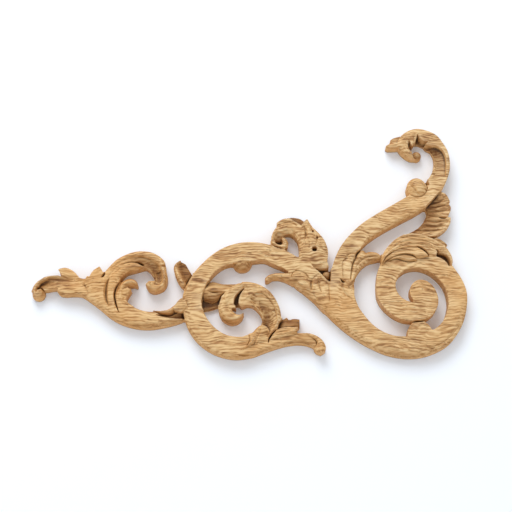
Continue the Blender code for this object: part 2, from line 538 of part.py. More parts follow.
def carve_inner_leaf(relief):
    # Leaf on the inside of the upright stem: two flat lobes, and the tip that reaches the big scroll
    relief.strip([(11.8, -0.6), (4.6, 7.3), (1.7, 13.6), (0.8, 19.8)],
                 [(13.4, 5), (12.8, 10), (13, 16), (14, 22)],
                 (ease, band, band), (ease, leaf, band))
    relief.strip([(3.1, 20.5), (2.1, 25.2), (1.8, 30.5), (1.6, 34.8), (2.4, 40.1), (5.9, 43.8), (5.9, 43.8),
                  (7.4, 47.2), (11.6, 49.1), (15.8, 47.4)],
                 [(14, 19), (14.5, 26), (15, 34), (15.3, 41), (15.8, 47.4)],
                 (ease, band, band), (ease, leaf, ease))
    relief.score([(12.5, -2), (4.2, 6.9), (1.2, 13.4), (0.2, 20)])
    relief.strip([(9.6, 22), (10.6, 30), (11.3, 34.8), (12.9, 40.1), (15.2, 43.8), (17.3, 48.2), (21, 52.4),
                  (24.1, 51.9), (25.6, 49.2), (25.6, 49.2), (28.1, 50.5), (33.3, 51), (38.3, 49.6),
                  (40.8, 46.6), (41, 43.6)],
                 [(12.5, 12), (14, 21), (17.5, 29), (23, 36.3), (30, 40.8), (36, 42.2), (41, 43.6)],
                 (ease, band, band, edge), (bed, band, edge, bed))
    relief.crack([(15, 44.4), (16.8, 48.4), (21.5, 53.5)])
    relief.crack([(0, 22.5), (2.4, 19.4), (4.8, 18.6)])
    relief.vein([(15.5, 33), (19, 39), (26, 44.5), (36, 46.4)])


def carve_acanthus(relief):
    # Large leaf laid over the top of the big scroll, its lobes rolling to the right
    relief.strip([(96, 66.5), (101, 64.7), (106, 61.2), (108.7, 58.3)],
                 [(95, 60), (103, 58.5), (108.7, 58.3)], (bed, dip))
    relief.strip([(70, 66), (82, 66.5), (93, 64.8), (102, 59.8), (108.5, 52.5), (112.3, 44.5), (112.5, 39),
                  (110.5, 35)],
                 [(70, 50), (85, 50), (97, 46), (103, 42.5), (107, 39), (110.5, 35)],
                 (band, leaf, leaf, band), (edge, band, dip, low))
    relief.strip([(40.5, 37.5), (42, 45.5), (46, 53), (51.5, 59.5), (58, 64.8), (65, 68.2), (73, 69.8),
                  (85, 67.5), (94, 62), (99.5, 55), (100.5, 48), (98.5, 45.8)],
                 [(42, 36.5), (47, 42), (58, 46), (75, 47), (88, 46.5), (98.5, 45.8)],
                 (band, leaf, crown, leaf, leaf), (band, leaf, leaf, band))
    relief.hollow([(97, 49.5), (103, 48.5), (108, 45), (110.2, 40), (110, 36)],
                  [(96.5, 45.5), (100.5, 43.8), (104, 41.5), (107, 38.5), (108.5, 35.5)], (low, floor))
    relief.vein([(44, 47), (50, 55), (58, 62), (68, 65.8), (80, 65.6), (92, 62.8)])
    relief.vein([(46, 47.4), (52, 53), (62.4, 59.8), (80, 61.8), (93, 58.6), (100, 53)])
    relief.vein([(48, 47), (56, 52.8), (66, 56.8), (78.4, 57.6), (90, 54.6), (96, 51)])
    # The two lobes that roll over the flat ring
    relief.strip([(41.5, 37), (45.5, 44), (53, 50), (62, 53.6), (72, 54.9), (79.5, 53.4), (85.5, 49.4),
                  (88, 44.8)],
                 [(42, 36), (45.5, 40.2), (51, 42.6), (57, 43.6), (62.5, 41.6), (68, 40), (73, 39.8),
                  (77, 41.6), (82, 42.6), (88, 44.8)],
                 (band, leaf, leaf, band), (leaf, crown, crown, band))
    relief.strip([(47, 39.4), (52, 43.6), (58.5, 46.6), (64, 47.8), (68.5, 47.5), (73, 46), (76.4, 42.8),
                  (76.6, 40.4)],
                 [(47, 39.4), (52, 41.4), (56.5, 42.2), (62, 40.4), (69.9, 38.9), (76.6, 40.4)],
                 (band, leaf, leaf, edge))
    relief.crack([(76, 55.4), (81, 53.6), (86, 49.6), (89.3, 45)])
    relief.crack([(95.5, 52), (98.2, 50.5), (99.4, 46.5)])
    relief.vein([(50, 45.4), (58, 49.6), (67, 51), (77, 49.4)])


def carve_middle_leaf(relief):
    # Leaf scroll on top of the main stem: a low wedge behind, the lobe at the right, the hook at the left
    relief.strip([(-54, 88.6), (-50.9, 89.6), (-44.9, 89.8), (-39.5, 88.6), (-34.6, 85.4)],
                 [(-54, 80), (-44, 78), (-33, 77)], (floor, floor))
    relief.strip([(-67, 61), (-59, 60)], [(-66, 53), (-59, 52)], (low, low))
    relief.strip([(-41, 42), (-41, 55), (-42, 64), (-42, 73), (-38, 78.5), (-35, 82.5), (-32, 83.6)],
                 [(-22, 30), (-14, 38), (-12, 46), (-12.5, 55), (-16, 64), (-21.5, 71), (-27, 76.5),
                  (-30.5, 82), (-32, 83.6)],
                 (band, band, band, edge), (leaf, leaf, leaf, edge))
    relief.strip([(-69, 61), (-68.5, 67), (-66, 73), (-62.5, 77.5), (-62.5, 77.5), (-63.3, 80.3),
                  (-60, 83.2), (-55, 85.2), (-50, 85.6), (-45, 82.3), (-38.3, 77.6), (-33, 68)],
                 [(-65, 58.5), (-59.5, 64), (-57, 68), (-53, 70), (-48, 69), (-43.5, 64.5), (-41, 58),
                  (-40.5, 50), (-38, 44)],
                 (edge, band, band, bed), (leaf, leaf, leaf, band))
    relief.hollow([(-66.5, 72), (-66.5, 65), (-65, 59), (-60, 56)],
                  [(-57.5, 71), (-58, 66), (-58, 61), (-57, 57)],
                  (band, edge, edge), (dip, floor, floor))
    relief.strip([(-65.5, 62), (-64, 58), (-60, 56)], [(-57.6, 64), (-57.4, 61), (-57, 58)], (floor, floor))
    relief.strip([(-69.5, 62), (-69, 58.8), (-64.4, 55.9), (-57.4, 54), (-53.4, 54.8), (-51.8, 60.4),
                  (-55.6, 65.4)],
                 [(-65, 63), (-64.2, 60.2), (-61.6, 58.4), (-58.6, 58.4), (-57, 60.4), (-58.4, 63.6),
                  (-55.6, 65.4)],
                 (edge, band, edge))
    relief.crack([(-70, 57.5), (-62, 54.8), (-53, 51)])
    relief.score([(-26.6, 72), (-22.3, 66), (-24.2, 57.9), (-25.5, 52.9)])
    relief.vein([(-64, 76), (-57, 80.5), (-49, 81.5), (-42, 76.5)])
    relief.vein([(-37, 79), (-34, 71), (-35, 61)])
    relief.pit((-25.5, 53), 2.4, EYE_HEIGHT)
    relief.pit((-27, 71.8), 0.9, DIP_HEIGHT)
    relief.pit((-22.8, 65.2), 0.9, DIP_HEIGHT)
    # Two small lobes that fill the corner against the upright stem
    relief.strip([(-31, 40), (-20, 42), (-13, 39.5), (-11.5, 34.8)], [(-24, 30), (-19, 31), (-14, 31.8),
                 (-11.5, 34.8)], (band, edge, dip))
    relief.strip([(-26, 33), (-10, 33)], [(-24, 22), (-8, 19)], (floor, floor))
    relief.boss((-13.5, 27.5), 4.3, low, bed)


def carve_joint_leaves(relief):
    # Two overlapping leaves that swell out of the main stem and fade into it
    relief.strip([(-29.1, 15), (-28.4, 21), (-25.5, 25.2), (-21.9, 27.4), (-19.4, 25.4), (-18.9, 22.1),
                  (-18.9, 22.1), (-16.4, 20.4), (-13, 18.6), (-11.4, 13), (-10.7, -1)],
                 [(-29.1, 15), (-28, 11), (-24.5, 6.5), (-19, 2.5), (-12.5, -1)],
                 (ease, band, band), (ease, band, band))
    relief.strip([(-49, 24), (-48.3, 27.3), (-46.3, 30.1), (-40.7, 31), (-35.6, 29), (-31.6, 24.2),
                  (-29.6, 18.9), (-29, 10)],
                 [(-49, 24), (-46, 21.4), (-40, 17.4), (-34, 12.8), (-30, 8.6)],
                 (ease, leaf, band), (ease, band, band))
    relief.vein([(-29.6, 23), (-29.2, 17), (-28.6, 11)])
    relief.vein([(-22.4, 24), (-21.4, 16), (-19, 8)])


def carve_onlay(pitch):
    relief = Relief(pitch)
    carve_back_leaf(relief)
    carve_left_leaf(relief)
    carve_inner_volute(relief)
    carve_fan(relief)
    carve_middle_leaf(relief)
    carve_c_scroll(relief)
    carve_scroll_bud(relief)
    carve_c_scroll_leaves(relief)
    carve_main_stem(relief)
    carve_big_scroll(relief)
    carve_upright_stem(relief)
    carve_inner_leaf(relief)
    carve_top_curl(relief)
    carve_ball_curl(relief)
    carve_acanthus(relief)
    carve_joint_leaves(relief)
    relief.close_slits()
    return relief


def crossings(solid, depth, height, x, z):
    # Where the outline crosses from one grid point to the next, along the last axis
    rows, columns = np.nonzero(solid[:, :-1] != solid[:, 1:])
    near = depth[rows, columns]
    share = near / (near - depth[rows, columns + 1])
    near = height[rows, columns]
    level = near + (height[rows, columns + 1] - near) * share
    step = np.array((x[rows, columns + 1] - x[rows, columns], z[rows, columns + 1] - z[rows, columns]))
    return rows, columns, x[rows, columns] + step[0] * share, z[rows, columns] + step[1] * share, level


def front_surface(relief):
    # Points and faces of the carved side, cut to the outline by marching squares. The points on the
    # outline come last
    least = LEAST_SHARE * relief.pitch
    depth = np.where(relief.depth < 0.0, np.minimum(relief.depth, -least), np.maximum(relief.depth, least))
    solid = depth > 0.0
    x, z = np.meshgrid(relief.x, relief.z)
    nodes = np.full(solid.shape, -1)
    nodes[solid] = np.arange(np.count_nonzero(solid))
    points = [np.column_stack((x[solid], z[solid], relief.height[solid]))]
    count = len(points[0])

    rows, columns, *places = crossings(solid, depth, relief.height, x, z)
    sideways = {key: count + order for order, key in enumerate(zip(rows.tolist(), columns.tolist()))}
    points.append(np.column_stack(places))
    count += len(rows)
    columns, rows, *places = crossings(solid.T, depth.T, relief.height.T, x.T, z.T)
    upwards = {key: count + order for order, key in enumerate(zip(rows.tolist(), columns.tolist()))}
    points.append(np.column_stack(places))

    filled = solid[:-1, :-1].astype(int) + solid[:-1, 1:] + solid[1:, 1:] + solid[1:, :-1]
    rows, columns = np.nonzero(filled == 4)
    ring = (nodes[rows, columns], nodes[rows, columns + 1], nodes[rows + 1, columns + 1],
            nodes[rows + 1, columns])
    faces = np.column_stack(ring).tolist()
    rim = []
    for row, column in zip(*(part.tolist() for part in np.nonzero((filled > 0) & (filled < 4)))):
        corners = (nodes[row, column], nodes[row, column + 1], nodes[row + 1, column + 1],
                   nodes[row + 1, column])
        edges = (sideways.get((row, column)), upwards.get((row, column + 1)),
                 sideways.get((row + 1, column)), upwards.get((row, column)))
        face = []
        for corner, crossing in zip(corners, edges):
            if corner >= 0:
                face.append(int(corner))
            if crossing is not None:
                face.append(crossing)
        faces.append(face)
        rim += [pair for pair in zip(face, face[1:] + face[:1]) if min(pair) >= len(points[0])]
    return np.concatenate(points), faces, rim


def solid_mesh(name, relief):
    # The carved face, the same outline on the flat back, and the wall between the two
    points, faces, rim = front_surface(relief)
    height = np.round(points[:, 2], 7)
    front = np.column_stack((points[:, 0], -height, points[:, 1]))
    back = np.column_stack((points[:, 0], np.zeros(len(points)), points[:, 1]))
    count = len(points)
    rear = [[corner + count for corner in reversed(face)] for face in faces]
    walls = [(end, start, start + count, end + count) for start, end in rim]
    mesh = bpy.data.meshes.new(name)
    mesh.from_pydata(np.concatenate((front, back)).tolist(), [], faces + rear + walls)
    mesh.update()
    return mesh


def thin_out(item):
    # Fewer triangles where the surface is flat, and the back set exactly into its plane again
    triangles = sum(len(face.vertices) - 2 for face in item.data.polygons)
    modifier = item.modifiers.new("thin_out", 'DECIMATE')
    modifier.ratio = TRIANGLE_LIMIT / triangles
    evaluated = item.evaluated_get(bpy.context.evaluated_depsgraph_get())
    dense = item.data
    item.data = bpy.data.meshes.new_from_object(evaluated)
    item.data.name = dense.name
    item.modifiers.remove(modifier)
    bpy.data.meshes.remove(dense)
    for vertex in item.data.vertices:
        if abs(vertex.co.y) < BACK_SNAP:
            vertex.co.y = 0.0


def oak():
    material = bpy.data.materials.new("oak")
    material.use_nodes = True
    shader = material.node_tree.nodes["Principled BSDF"]
    shader.inputs["Base Color"].default_value = OAK_COLOUR
    shader.inputs["Roughness"].default_value = OAK_ROUGHNESS
    shader.inputs["Metallic"].default_value = OAK_METALLIC
    material.diffuse_color = OAK_COLOUR
    return material


def main():
    clear_scene()
    mesh = solid_mesh("scroll_onlay", carve_onlay(CARVING_PITCH))
    onlay = bpy.data.objects.new("scroll_onlay", mesh)
    bpy.context.scene.collection.objects.link(onlay)
    thin_out(onlay)
    onlay.data.shade_smooth()
    onlay.data.set_sharp_from_angle(angle=SHARP_ANGLE)
    onlay.data.materials.append(oak())


main()
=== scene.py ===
import math

import bpy
import numpy as np
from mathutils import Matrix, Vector


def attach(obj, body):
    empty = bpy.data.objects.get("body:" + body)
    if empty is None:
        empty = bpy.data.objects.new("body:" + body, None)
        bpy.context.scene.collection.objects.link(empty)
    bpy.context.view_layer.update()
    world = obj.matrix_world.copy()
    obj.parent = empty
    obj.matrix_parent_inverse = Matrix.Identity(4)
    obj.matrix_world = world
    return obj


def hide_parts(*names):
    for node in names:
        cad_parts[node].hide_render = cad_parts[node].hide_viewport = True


# Dresses the carved oak corner onlay. The back lies in Y = 0 and the carving faces -Y.
# Lengths are in metres, but the outlines are drawn in units of about a millimetre.

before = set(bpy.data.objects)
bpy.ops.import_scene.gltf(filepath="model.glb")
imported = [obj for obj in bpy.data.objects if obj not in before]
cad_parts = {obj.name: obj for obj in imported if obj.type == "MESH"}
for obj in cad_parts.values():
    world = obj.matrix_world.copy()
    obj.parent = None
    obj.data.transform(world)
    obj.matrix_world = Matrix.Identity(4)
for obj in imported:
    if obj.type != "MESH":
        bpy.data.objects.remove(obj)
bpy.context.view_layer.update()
print("frame loaded")

onlay = {
    "length": 0.4335,           # curl at the left to the right side of the big scroll
    "drawnLength": 433.5,       # the same length in drawn units
    "pitch": 0.00048,     # spacing of the carved surface's points
    "triangles": 192000,
    "sharpAngle": 48.0,
    "dome": 0.75,               # how pointed the knobs are: 0.5 is a half ball, 1.0 a shallow cap
    "backDepth": -0.0005,       # points behind this belong to the back, which has no hollows
}
unit = onlay["length"] / onlay["drawnLength"]

drawing = {
    "left": -309.0, "right": 127.0, "low": -60.0, "high": 185.0,
    "margin": 4,                # empty cells round the plan
    "curveStep": 0.0012,        # longest straight run along a drawn curve
    "leastGap": 0.0016,         # narrower gaps between the forms stay solid wood
    "leastShare": 0.1,          # a point keeps this share of the pitch from the outline
}

# Heights over the flat back
levels = {
    "band": 0.0160, "crown": 0.0205, "leaf": 0.0180, "ease": 0.0147, "edge": 0.0140, "bed": 0.0118,
    "dip": 0.0095, "low": 0.0068, "floor": 0.0042, "eye": 0.0050,
}
band, crown, leaf, ease, edge = (levels[name] for name in ("band", "crown", "leaf", "ease", "edge"))
bed, dip, low, floor = (levels[name] for name in ("bed", "dip", "low", "floor"))

# Half widths and depths of the cuts
gouges = {
    "crackWidth": 0.0013, "crackDepth": 0.0060,
    "veinWidth": 0.0021, "veinDepth": 0.0020,
    "scoreWidth": 0.0011, "scoreDepth": 0.0012,
    "chamferWidth": 0.0040, "chamferDepth": 0.0036,
    "rimWidth": 0.0065, "rimDepth": 0.0034,
    "runOut": 0.12,             # share of a chamfer over which it runs out at each end
    "fluteWidth": 0.0012, "fluteDepth": 0.0007,     # fine gouge lines along the leaves
    "easeWidth": 0.0009, "easeDepth": 0.0006,       # the sanded edge round every outline
}


def smoothRun(points, step):
    # Centripetal curve through the points, with a point at most every step
    if len(points) < 3:
        return points
    before = 2 * points[0] - points[1]
    after = 2 * points[-1] - points[-2]
    knots = [before, *points, after]
    run = [points[0]]
    for start in range(len(points) - 1):
        p0, p1, p2, p3 = knots[start:start + 4]
        t1 = math.sqrt(np.linalg.norm(p1 - p0))
        t2 = t1 + math.sqrt(np.linalg.norm(p2 - p1))
        t3 = t2 + math.sqrt(np.linalg.norm(p3 - p2))
        count = max(2, math.ceil(np.linalg.norm(p2 - p1) / step))
        for t in np.linspace(t1, t2, count + 1)[1:]:
            a1 = p0 + (p1 - p0) * t / t1
            a2 = p1 + (p2 - p1) * (t - t1) / (t2 - t1)
            a3 = p2 + (p3 - p2) * (t - t2) / (t3 - t2)
            b1 = a1 + (a2 - a1) * t / t2
            b2 = a2 + (a3 - a2) * (t - t1) / (t3 - t1)
            run.append(b1 + (b2 - b1) * (t - t1) / (t2 - t1))
    return run


def curve(drawn):
    # A point drawn twice is a corner between two smooth runs
    points = [np.array(point, float) * unit for point in drawn]
    runs = [[points[0]]]
    for point, previous in zip(points[1:], points):
        if np.array_equal(point, previous):
            runs.append([point])
        else:
            runs[-1].append(point)
    line = []
    for run in runs:
        part = smoothRun(run, drawing["curveStep"])
        line += part[1:] if line else part
    return np.array(line)


def distanceTo(line, x, z):
    # Distance to the nearest point of a line, and how far along the line that point is
    nearest = np.full(x.shape, np.inf)
    along = np.zeros(x.shape)
    for index in range(len(line) - 1):
        ax, az = line[index]
        dx, dz = line[index + 1] - line[index]
        share = np.clip(((x - ax) * dx + (z - az) * dz) / (dx * dx + dz * dz), 0.0, 1.0)
        gap = (x - ax - share * dx) ** 2 + (z - az - share * dz) ** 2
        closer = gap < nearest
        nearest = np.where(closer, gap, nearest)
        along = np.where(closer, index + share, along)
    return np.sqrt(nearest), along / (len(line) - 1)


def inside(outline, x, z):
    # Even-odd test of grid points against a closed outline
    result = np.zeros(x.shape, bool)
    following = np.roll(outline, -1, axis=0)
    for (ax, az), (bx, bz) in zip(outline, following):
        if az != bz:
            crosses = (az > z) != (bz > z)
            result ^= crosses & (x < (bx - ax) * (z - az) / (bz - az) + ax)
    return result


def across(heights, share):
    # Smooth heights over a strip, from those at even shares of its width. One height alone is flat
    if np.isscalar(heights):
        return np.full(share.shape, heights)
    heights = np.array(heights)
    place = share * (len(heights) - 1)
    first = np.clip(place.astype(int), 0, len(heights) - 2)
    part = place - first
    padded = np.concatenate(([heights[0]], heights, [heights[-1]]))
    p0, p1, p2, p3 = (padded[first + offset] for offset in range(4))
    bend = 2 * p0 - 5 * p1 + 4 * p2 - p3 + (3 * (p1 - p2) + p3 - p0) * part
    return p1 + 0.5 * part * (p2 - p0 + part * bend)


def largestNear(field, reach):
    # The largest value within reach grid points of each one
    for axis in (0, 1):
        field = np.max([np.roll(field, shift, axis) for shift in range(-reach, reach + 1)], axis=0)
    return field


def meanNear(field, reach):
    for axis in (0, 1):
        field = np.mean([np.roll(field, shift, axis) for shift in range(-reach, reach + 1)], axis=0)
    return field


def thinEnds(along):
    return np.sqrt(np.clip(np.sin(math.pi * along), 0.0, 1.0))


def softEnds(along):
    # Full width all along, but for a short run-out at each end
    return np.clip(np.minimum(along, 1.0 - along) / gouges["runOut"], 0.0, 1.0)


class Relief:
    # The carving as two grids: how far inside the plan each point is, and the height over the back

    def __init__(self, pitch):
        self.pitch = pitch
        margin = drawing["margin"] * pitch
        self.x = np.arange(drawing["left"] * unit - margin, drawing["right"] * unit + margin, pitch)
        self.z = np.arange(drawing["low"] * unit - margin, drawing["high"] * unit + margin, pitch)
        shape = (len(self.z), len(self.x))
        self.depth = np.full(shape, -1.0)
        self.height = np.zeros(shape)

    def window(self, line, reach):
        columns = np.searchsorted(self.x, (line[:, 0].min() - reach, line[:, 0].max() + reach))
        rows = np.searchsorted(self.z, (line[:, 1].min() - reach, line[:, 1].max() + reach))
        where = (slice(*rows), slice(*columns))
        x, z = np.meshgrid(self.x[where[1]], self.z[where[0]])
        return where, x, z

    def cover(self, depth):
        # How much of each cell a form takes up, so that its step is spread over one cell
        return np.clip(depth / self.pitch + 0.5, 0.0, 1.0)

    def lay(self, where, depth, height):
        # Lays one form over what is there
        oldDepth = self.depth[where]
        oldHeight = self.height[where]
        over = oldHeight + (height - oldHeight) * self.cover(depth)
        alone = np.where(depth > oldDepth, height, oldHeight)
        self.height[where] = np.where(oldDepth > 0.0, over, alone)
        self.depth[where] = np.maximum(oldDepth, depth)

    def form(self, first, second, heights, far):
        # A band between two drawn edges: its heights from the first edge to the second, where it
        # starts, and far, the same where it ends
        first = curve(first)
        second = curve(second)
        outline = np.concatenate((first, second[::-1]))
        where, x, z = self.window(outline, 3 * self.pitch)
        firstGap, firstAlong = distanceTo(first, x, z)
        secondGap, secondAlong = distanceTo(second, x, z)
        gap = np.minimum(firstGap, secondGap)
        for end in (0, -1):
            if not np.allclose(first[end], second[end]):
                gap = np.minimum(gap, distanceTo(np.array((first[end], second[end])), x, z)[0])
        share = firstGap / (firstGap + secondGap + 1e-9)
        height = across(heights, share)
        if far is not None:
            along = 0.5 * (firstAlong + secondAlong)
            height = height + (across(far, share) - height) * along
        return where, np.where(inside(outline, x, z), gap, -gap), height

    def strip(self, first, second, heights, far=None):
        self.lay(*self.form(first, second, heights, far))

    def hollow(self, first, second, heights, far=None):
        # A strip that only changes heights, so it may run past the edge of the plan
        where, depth, height = self.form(first, second, heights, far)
        self.height[where] += (height - self.height[where]) * self.cover(depth)

    def disc(self, centre, radius):
        # The grid round a drawn circle, each point's distance from its centre, and its true radius
        centre = np.array(centre) * unit
        radius = radius * unit
        where, x, z = self.window(np.array((centre - radius, centre + radius)), 3 * self.pitch)
        return where, np.hypot(x - centre[0], z - centre[1]), radius

    def boss(self, centre, radius, foot, top):
        # A round knob, domed from foot at its rim to top
        where, gap, radius = self.disc(centre, radius)
        dome = np.clip(1.0 - (gap / radius) ** 2, 0.0, 1.0) ** onlay["dome"]
        self.lay(where, radius - gap, foot + (top - foot) * dome)

    def pit(self, centre, radius, bottom):
        where, gap, radius = self.disc(centre, radius)
        sunk = np.minimum(bottom, self.height[where])
        self.height[where] += (sunk - self.height[where]) * self.cover(radius - gap)

    def closeSlits(self):
        reach = max(1, round(0.5 * drawing["leastGap"] / self.pitch))
        self.depth = -largestNear(-largestNear(self.depth, reach), reach)

    def cut(self, drawn, width, depth, swell):
        # A V cut along a drawn line, as wide and deep at each point as its swell there says
        line = curve(drawn)
        where, x, z = self.window(line, width)
        gap, along = distanceTo(line, x, z)
        swell = swell(along)
        fall = np.clip(1.0 - gap / (width * swell + 1e-6), 0.0, 1.0)
        lowest = np.minimum(floor, self.height[where])
        self.height[where] = np.maximum(self.height[where] - depth * swell * fall, lowest)

    def cutAll(self, lines, kind):
        for drawn in lines:
            self.cut(drawn, gouges[kind + "Width"], gouges[kind + "Depth"], thinEnds)

    def crack(self, *lines):
        self.cutAll(lines, "crack")

    def vein(self, *lines):
        self.cutAll(lines, "vein")

    def score(self, *lines):
        self.cutAll(lines, "score")

    def flute(self, *lines):
        self.cutAll(lines, "flute")

    def chamfer(self, drawn, width=gouges["chamferWidth"], depth=gouges["chamferDepth"]):
        self.cut(drawn, width, depth, softEnds)


def carveLeftLeaf(relief):
    # Stem that comes from behind the C scroll and opens into the leaf at the left
    relief.strip(
        [(-146, -14), (-160, -20.8), (-175, -25), (-190, -27.2), (-205, -25.8), (-216, -22.5),
         (-230, -14.5)],
        [(-146, -6), (-160, -9), (-176, -11), (-190, -11.6), (-200, -9.4), (-207, -5.6), (-216, 2)],
        (edge, band, band, edge), band)
    # Body of the leaf
    relief.strip(
        [(-208, -25), (-218, -21.8), (-229, -15.5), (-240, -6.4), (-250, 1.2), (-258, 6.5)],
        [(-205, -6.5), (-211.5, -2), (-213, 3), (-216, 14), (-226, 24), (-238, 24), (-248, 20), (-256, 20)],
        band)
    # Side lobes of the tail, the tail itself and the curl at its end
    relief.strip(
        [(-254, 14), (-260.5, 24), (-267.5, 31), (-275, 34), (-281.8, 32.6)],
        [(-258, 14), (-268, 20), (-275, 23.5), (-279.4, 28), (-281.8, 32.6)], band, edge)
    relief.strip(
        [(-250, 3), (-262, 9), (-275, 12), (-285, 12.7), (-292, 11.5), (-299, 11.5)],
        [(-250, 22), (-257, 22.5), (-266, 25.5), (-275, 26), (-285, 26.3), (-291, 25.8), (-297, 24),
         (-301, 20.5)], band, (bed, dip, low, bed))
    relief.strip(
        [(-252, 5), (-260, 6.6), (-268, 6.8), (-274, 6.4), (-279, 7.2), (-282, 10)],
        [(-252, 12), (-262, 13.4), (-271, 14.2), (-277, 13.6), (-282, 10)], band, (bed, edge, edge))
    relief.boss((-301.3, 8.6), 6.4, floor, band)
    relief.strip(
        [(-292, 25.5), (-301, 21.3), (-305.5, 16), (-307.7, 10)],
        [(-292, 22.5), (-299, 19), (-301.5, 14.5), (-302, 9)], (bed, edge, bed))
    relief.pit((-301.3, 13), 1.4, low)
    relief.pit((-279.6, 26.8), 1.2, low)
    # Short lobes on the upper edge
    relief.strip(
        [(-257, 16), (-254.6, 21), (-252.4, 25.2)], [(-247, 16), (-250, 21.5), (-252.4, 25.2)], band)
    relief.strip(
        [(-252, 14), (-250.5, 23), (-247, 30), (-240.5, 35)],
        [(-234, 18), (-236, 26), (-237.5, 30.5), (-240.5, 35)], band)
    # Arch, hollowed under its rim, and the bulb that it rolls down into
    relief.strip(
        [(-237, 14), (-237, 22), (-235, 28.5), (-231, 34), (-224, 41.5), (-215, 47), (-206, 50.2),
         (-197, 51), (-188, 49.5), (-180, 45), (-175.3, 39.5), (-174.3, 34), (-173, 27), (-172.5, 21)],
        [(-226, 8), (-223, 16), (-218, 24), (-212, 30), (-205, 33.5), (-198, 34.7), (-192, 32.7),
         (-188, 28.2), (-185.4, 23)], (band, band, band, band, edge), (edge, band, dip, low, dip))
    relief.strip(
        [(-174.3, 33), (-172.7, 26), (-172.8, 19.5), (-175.5, 13.8), (-180, 10.8), (-186, 9.5), (-191, 11.5),
         (-194, 16)],
        [(-186, 29), (-184.5, 25), (-184.6, 21.5), (-187, 20.4), (-191, 20.2), (-194, 16)],
        (edge, band, dip, low, dip), (bed, band, leaf, leaf, edge))
    # Second lobe, laid over the hollow
    relief.strip(
        [(-238, 10), (-232, 24), (-222, 34.5), (-210, 39.3), (-202, 38.2), (-196.5, 34)],
        [(-227, 3), (-223.6, 13), (-219, 22.5), (-213, 28.8), (-205, 31.3), (-196.5, 34)],
        band, (edge, leaf, leaf, edge))
    # Third lobe with its hook and tooth
    relief.strip(
        [(-224, -12), (-223.5, 4), (-221, 14), (-216.5, 20.2), (-210, 22.8), (-205, 21.5), (-202, 17.8),
         (-202.5, 14.8)],
        [(-208, -10), (-213.5, 2), (-214.5, 10.5), (-212, 14), (-207, 16), (-202.5, 14.8)],
        band, (bed, leaf, bed))
    relief.strip(
        [(-217, 12), (-212, 12.4), (-208, 11.2)], [(-215, 0), (-211.5, 5), (-208, 11.2)], (band, band, edge))
    relief.cut(
        [(-230, 23.5), (-232.4, 17), (-233.3, 9), (-232.5, 1), (-229.8, -6)],
        1.2 * gouges["veinWidth"], 2 * gouges["veinDepth"], thinEnds)
    relief.crack(
        [(-214.9, 23.8), (-219.7, 18.7), (-223.4, 12.3), (-224.5, 5), (-223.4, -2), (-219.3, -13.2)],
        [(-235, 29), (-236, 26), (-238.5, 23.5)], [(-206, 40), (-201, 39.7), (-196, 37)],
        [(-171.5, 37.4), (-175, 36.2), (-179, 35)])
    relief.vein(
        [(-229, 32), (-220, 39.5), (-210, 43.8), (-199, 45), (-188, 42)],
        [(-226, 27), (-218, 34), (-208, 36.5)])
    relief.score([(-256, 18.5), (-253, 12.5), (-250.5, 7)])
    relief.chamfer([(-258, 6.5), (-250, 1.2), (-240, -6.4), (-229, -15.5), (-218, -21.8), (-205, -25.8),
                    (-190, -27.2), (-175, -25), (-160, -20.8), (-146, -14)])
    # Hollow under the bud, and the bud where the leaf springs from the scroll
    relief.hollow(
        [(-183, -15), (-176, -13.6), (-167.6, -12.5), (-154, -12)],
        [(-183, -15), (-176, -17), (-167.5, -18.4), (-154, -18)], (edge, bed, edge), (dip, low, dip))
    relief.strip(
        [(-186, -10.5), (-178, -10), (-171, -8.5), (-165, -4), (-160, 1), (-154, 5)],
        [(-186, -10.5), (-178, -14.5), (-170, -15), (-162, -12), (-152, -9)], (bed, band, bed, low))


def carveScrollBud(relief):
    # Small lobe of the bud that laps over the edge of the C scroll
    relief.strip(
        [(-166, -8), (-162, -2), (-157.5, 1.8), (-153.5, -1.5), (-151.8, -8)],
        [(-164.5, -11), (-158, -11.5), (-151.8, -8)], (leaf, leaf, band))


def carveBackLeaf(relief):
    # Leaf that stands behind the left side of the C scroll
    relief.strip(
        [(-153, 10), (-161, 19), (-165.3, 28), (-166.4, 35), (-164, 39.6), (-159.5, 42)],
        [(-144, 22), (-149, 29.5), (-152.3, 35), (-155, 39.5), (-159.5, 42)],
        (bed, edge, dip, low, low, low))


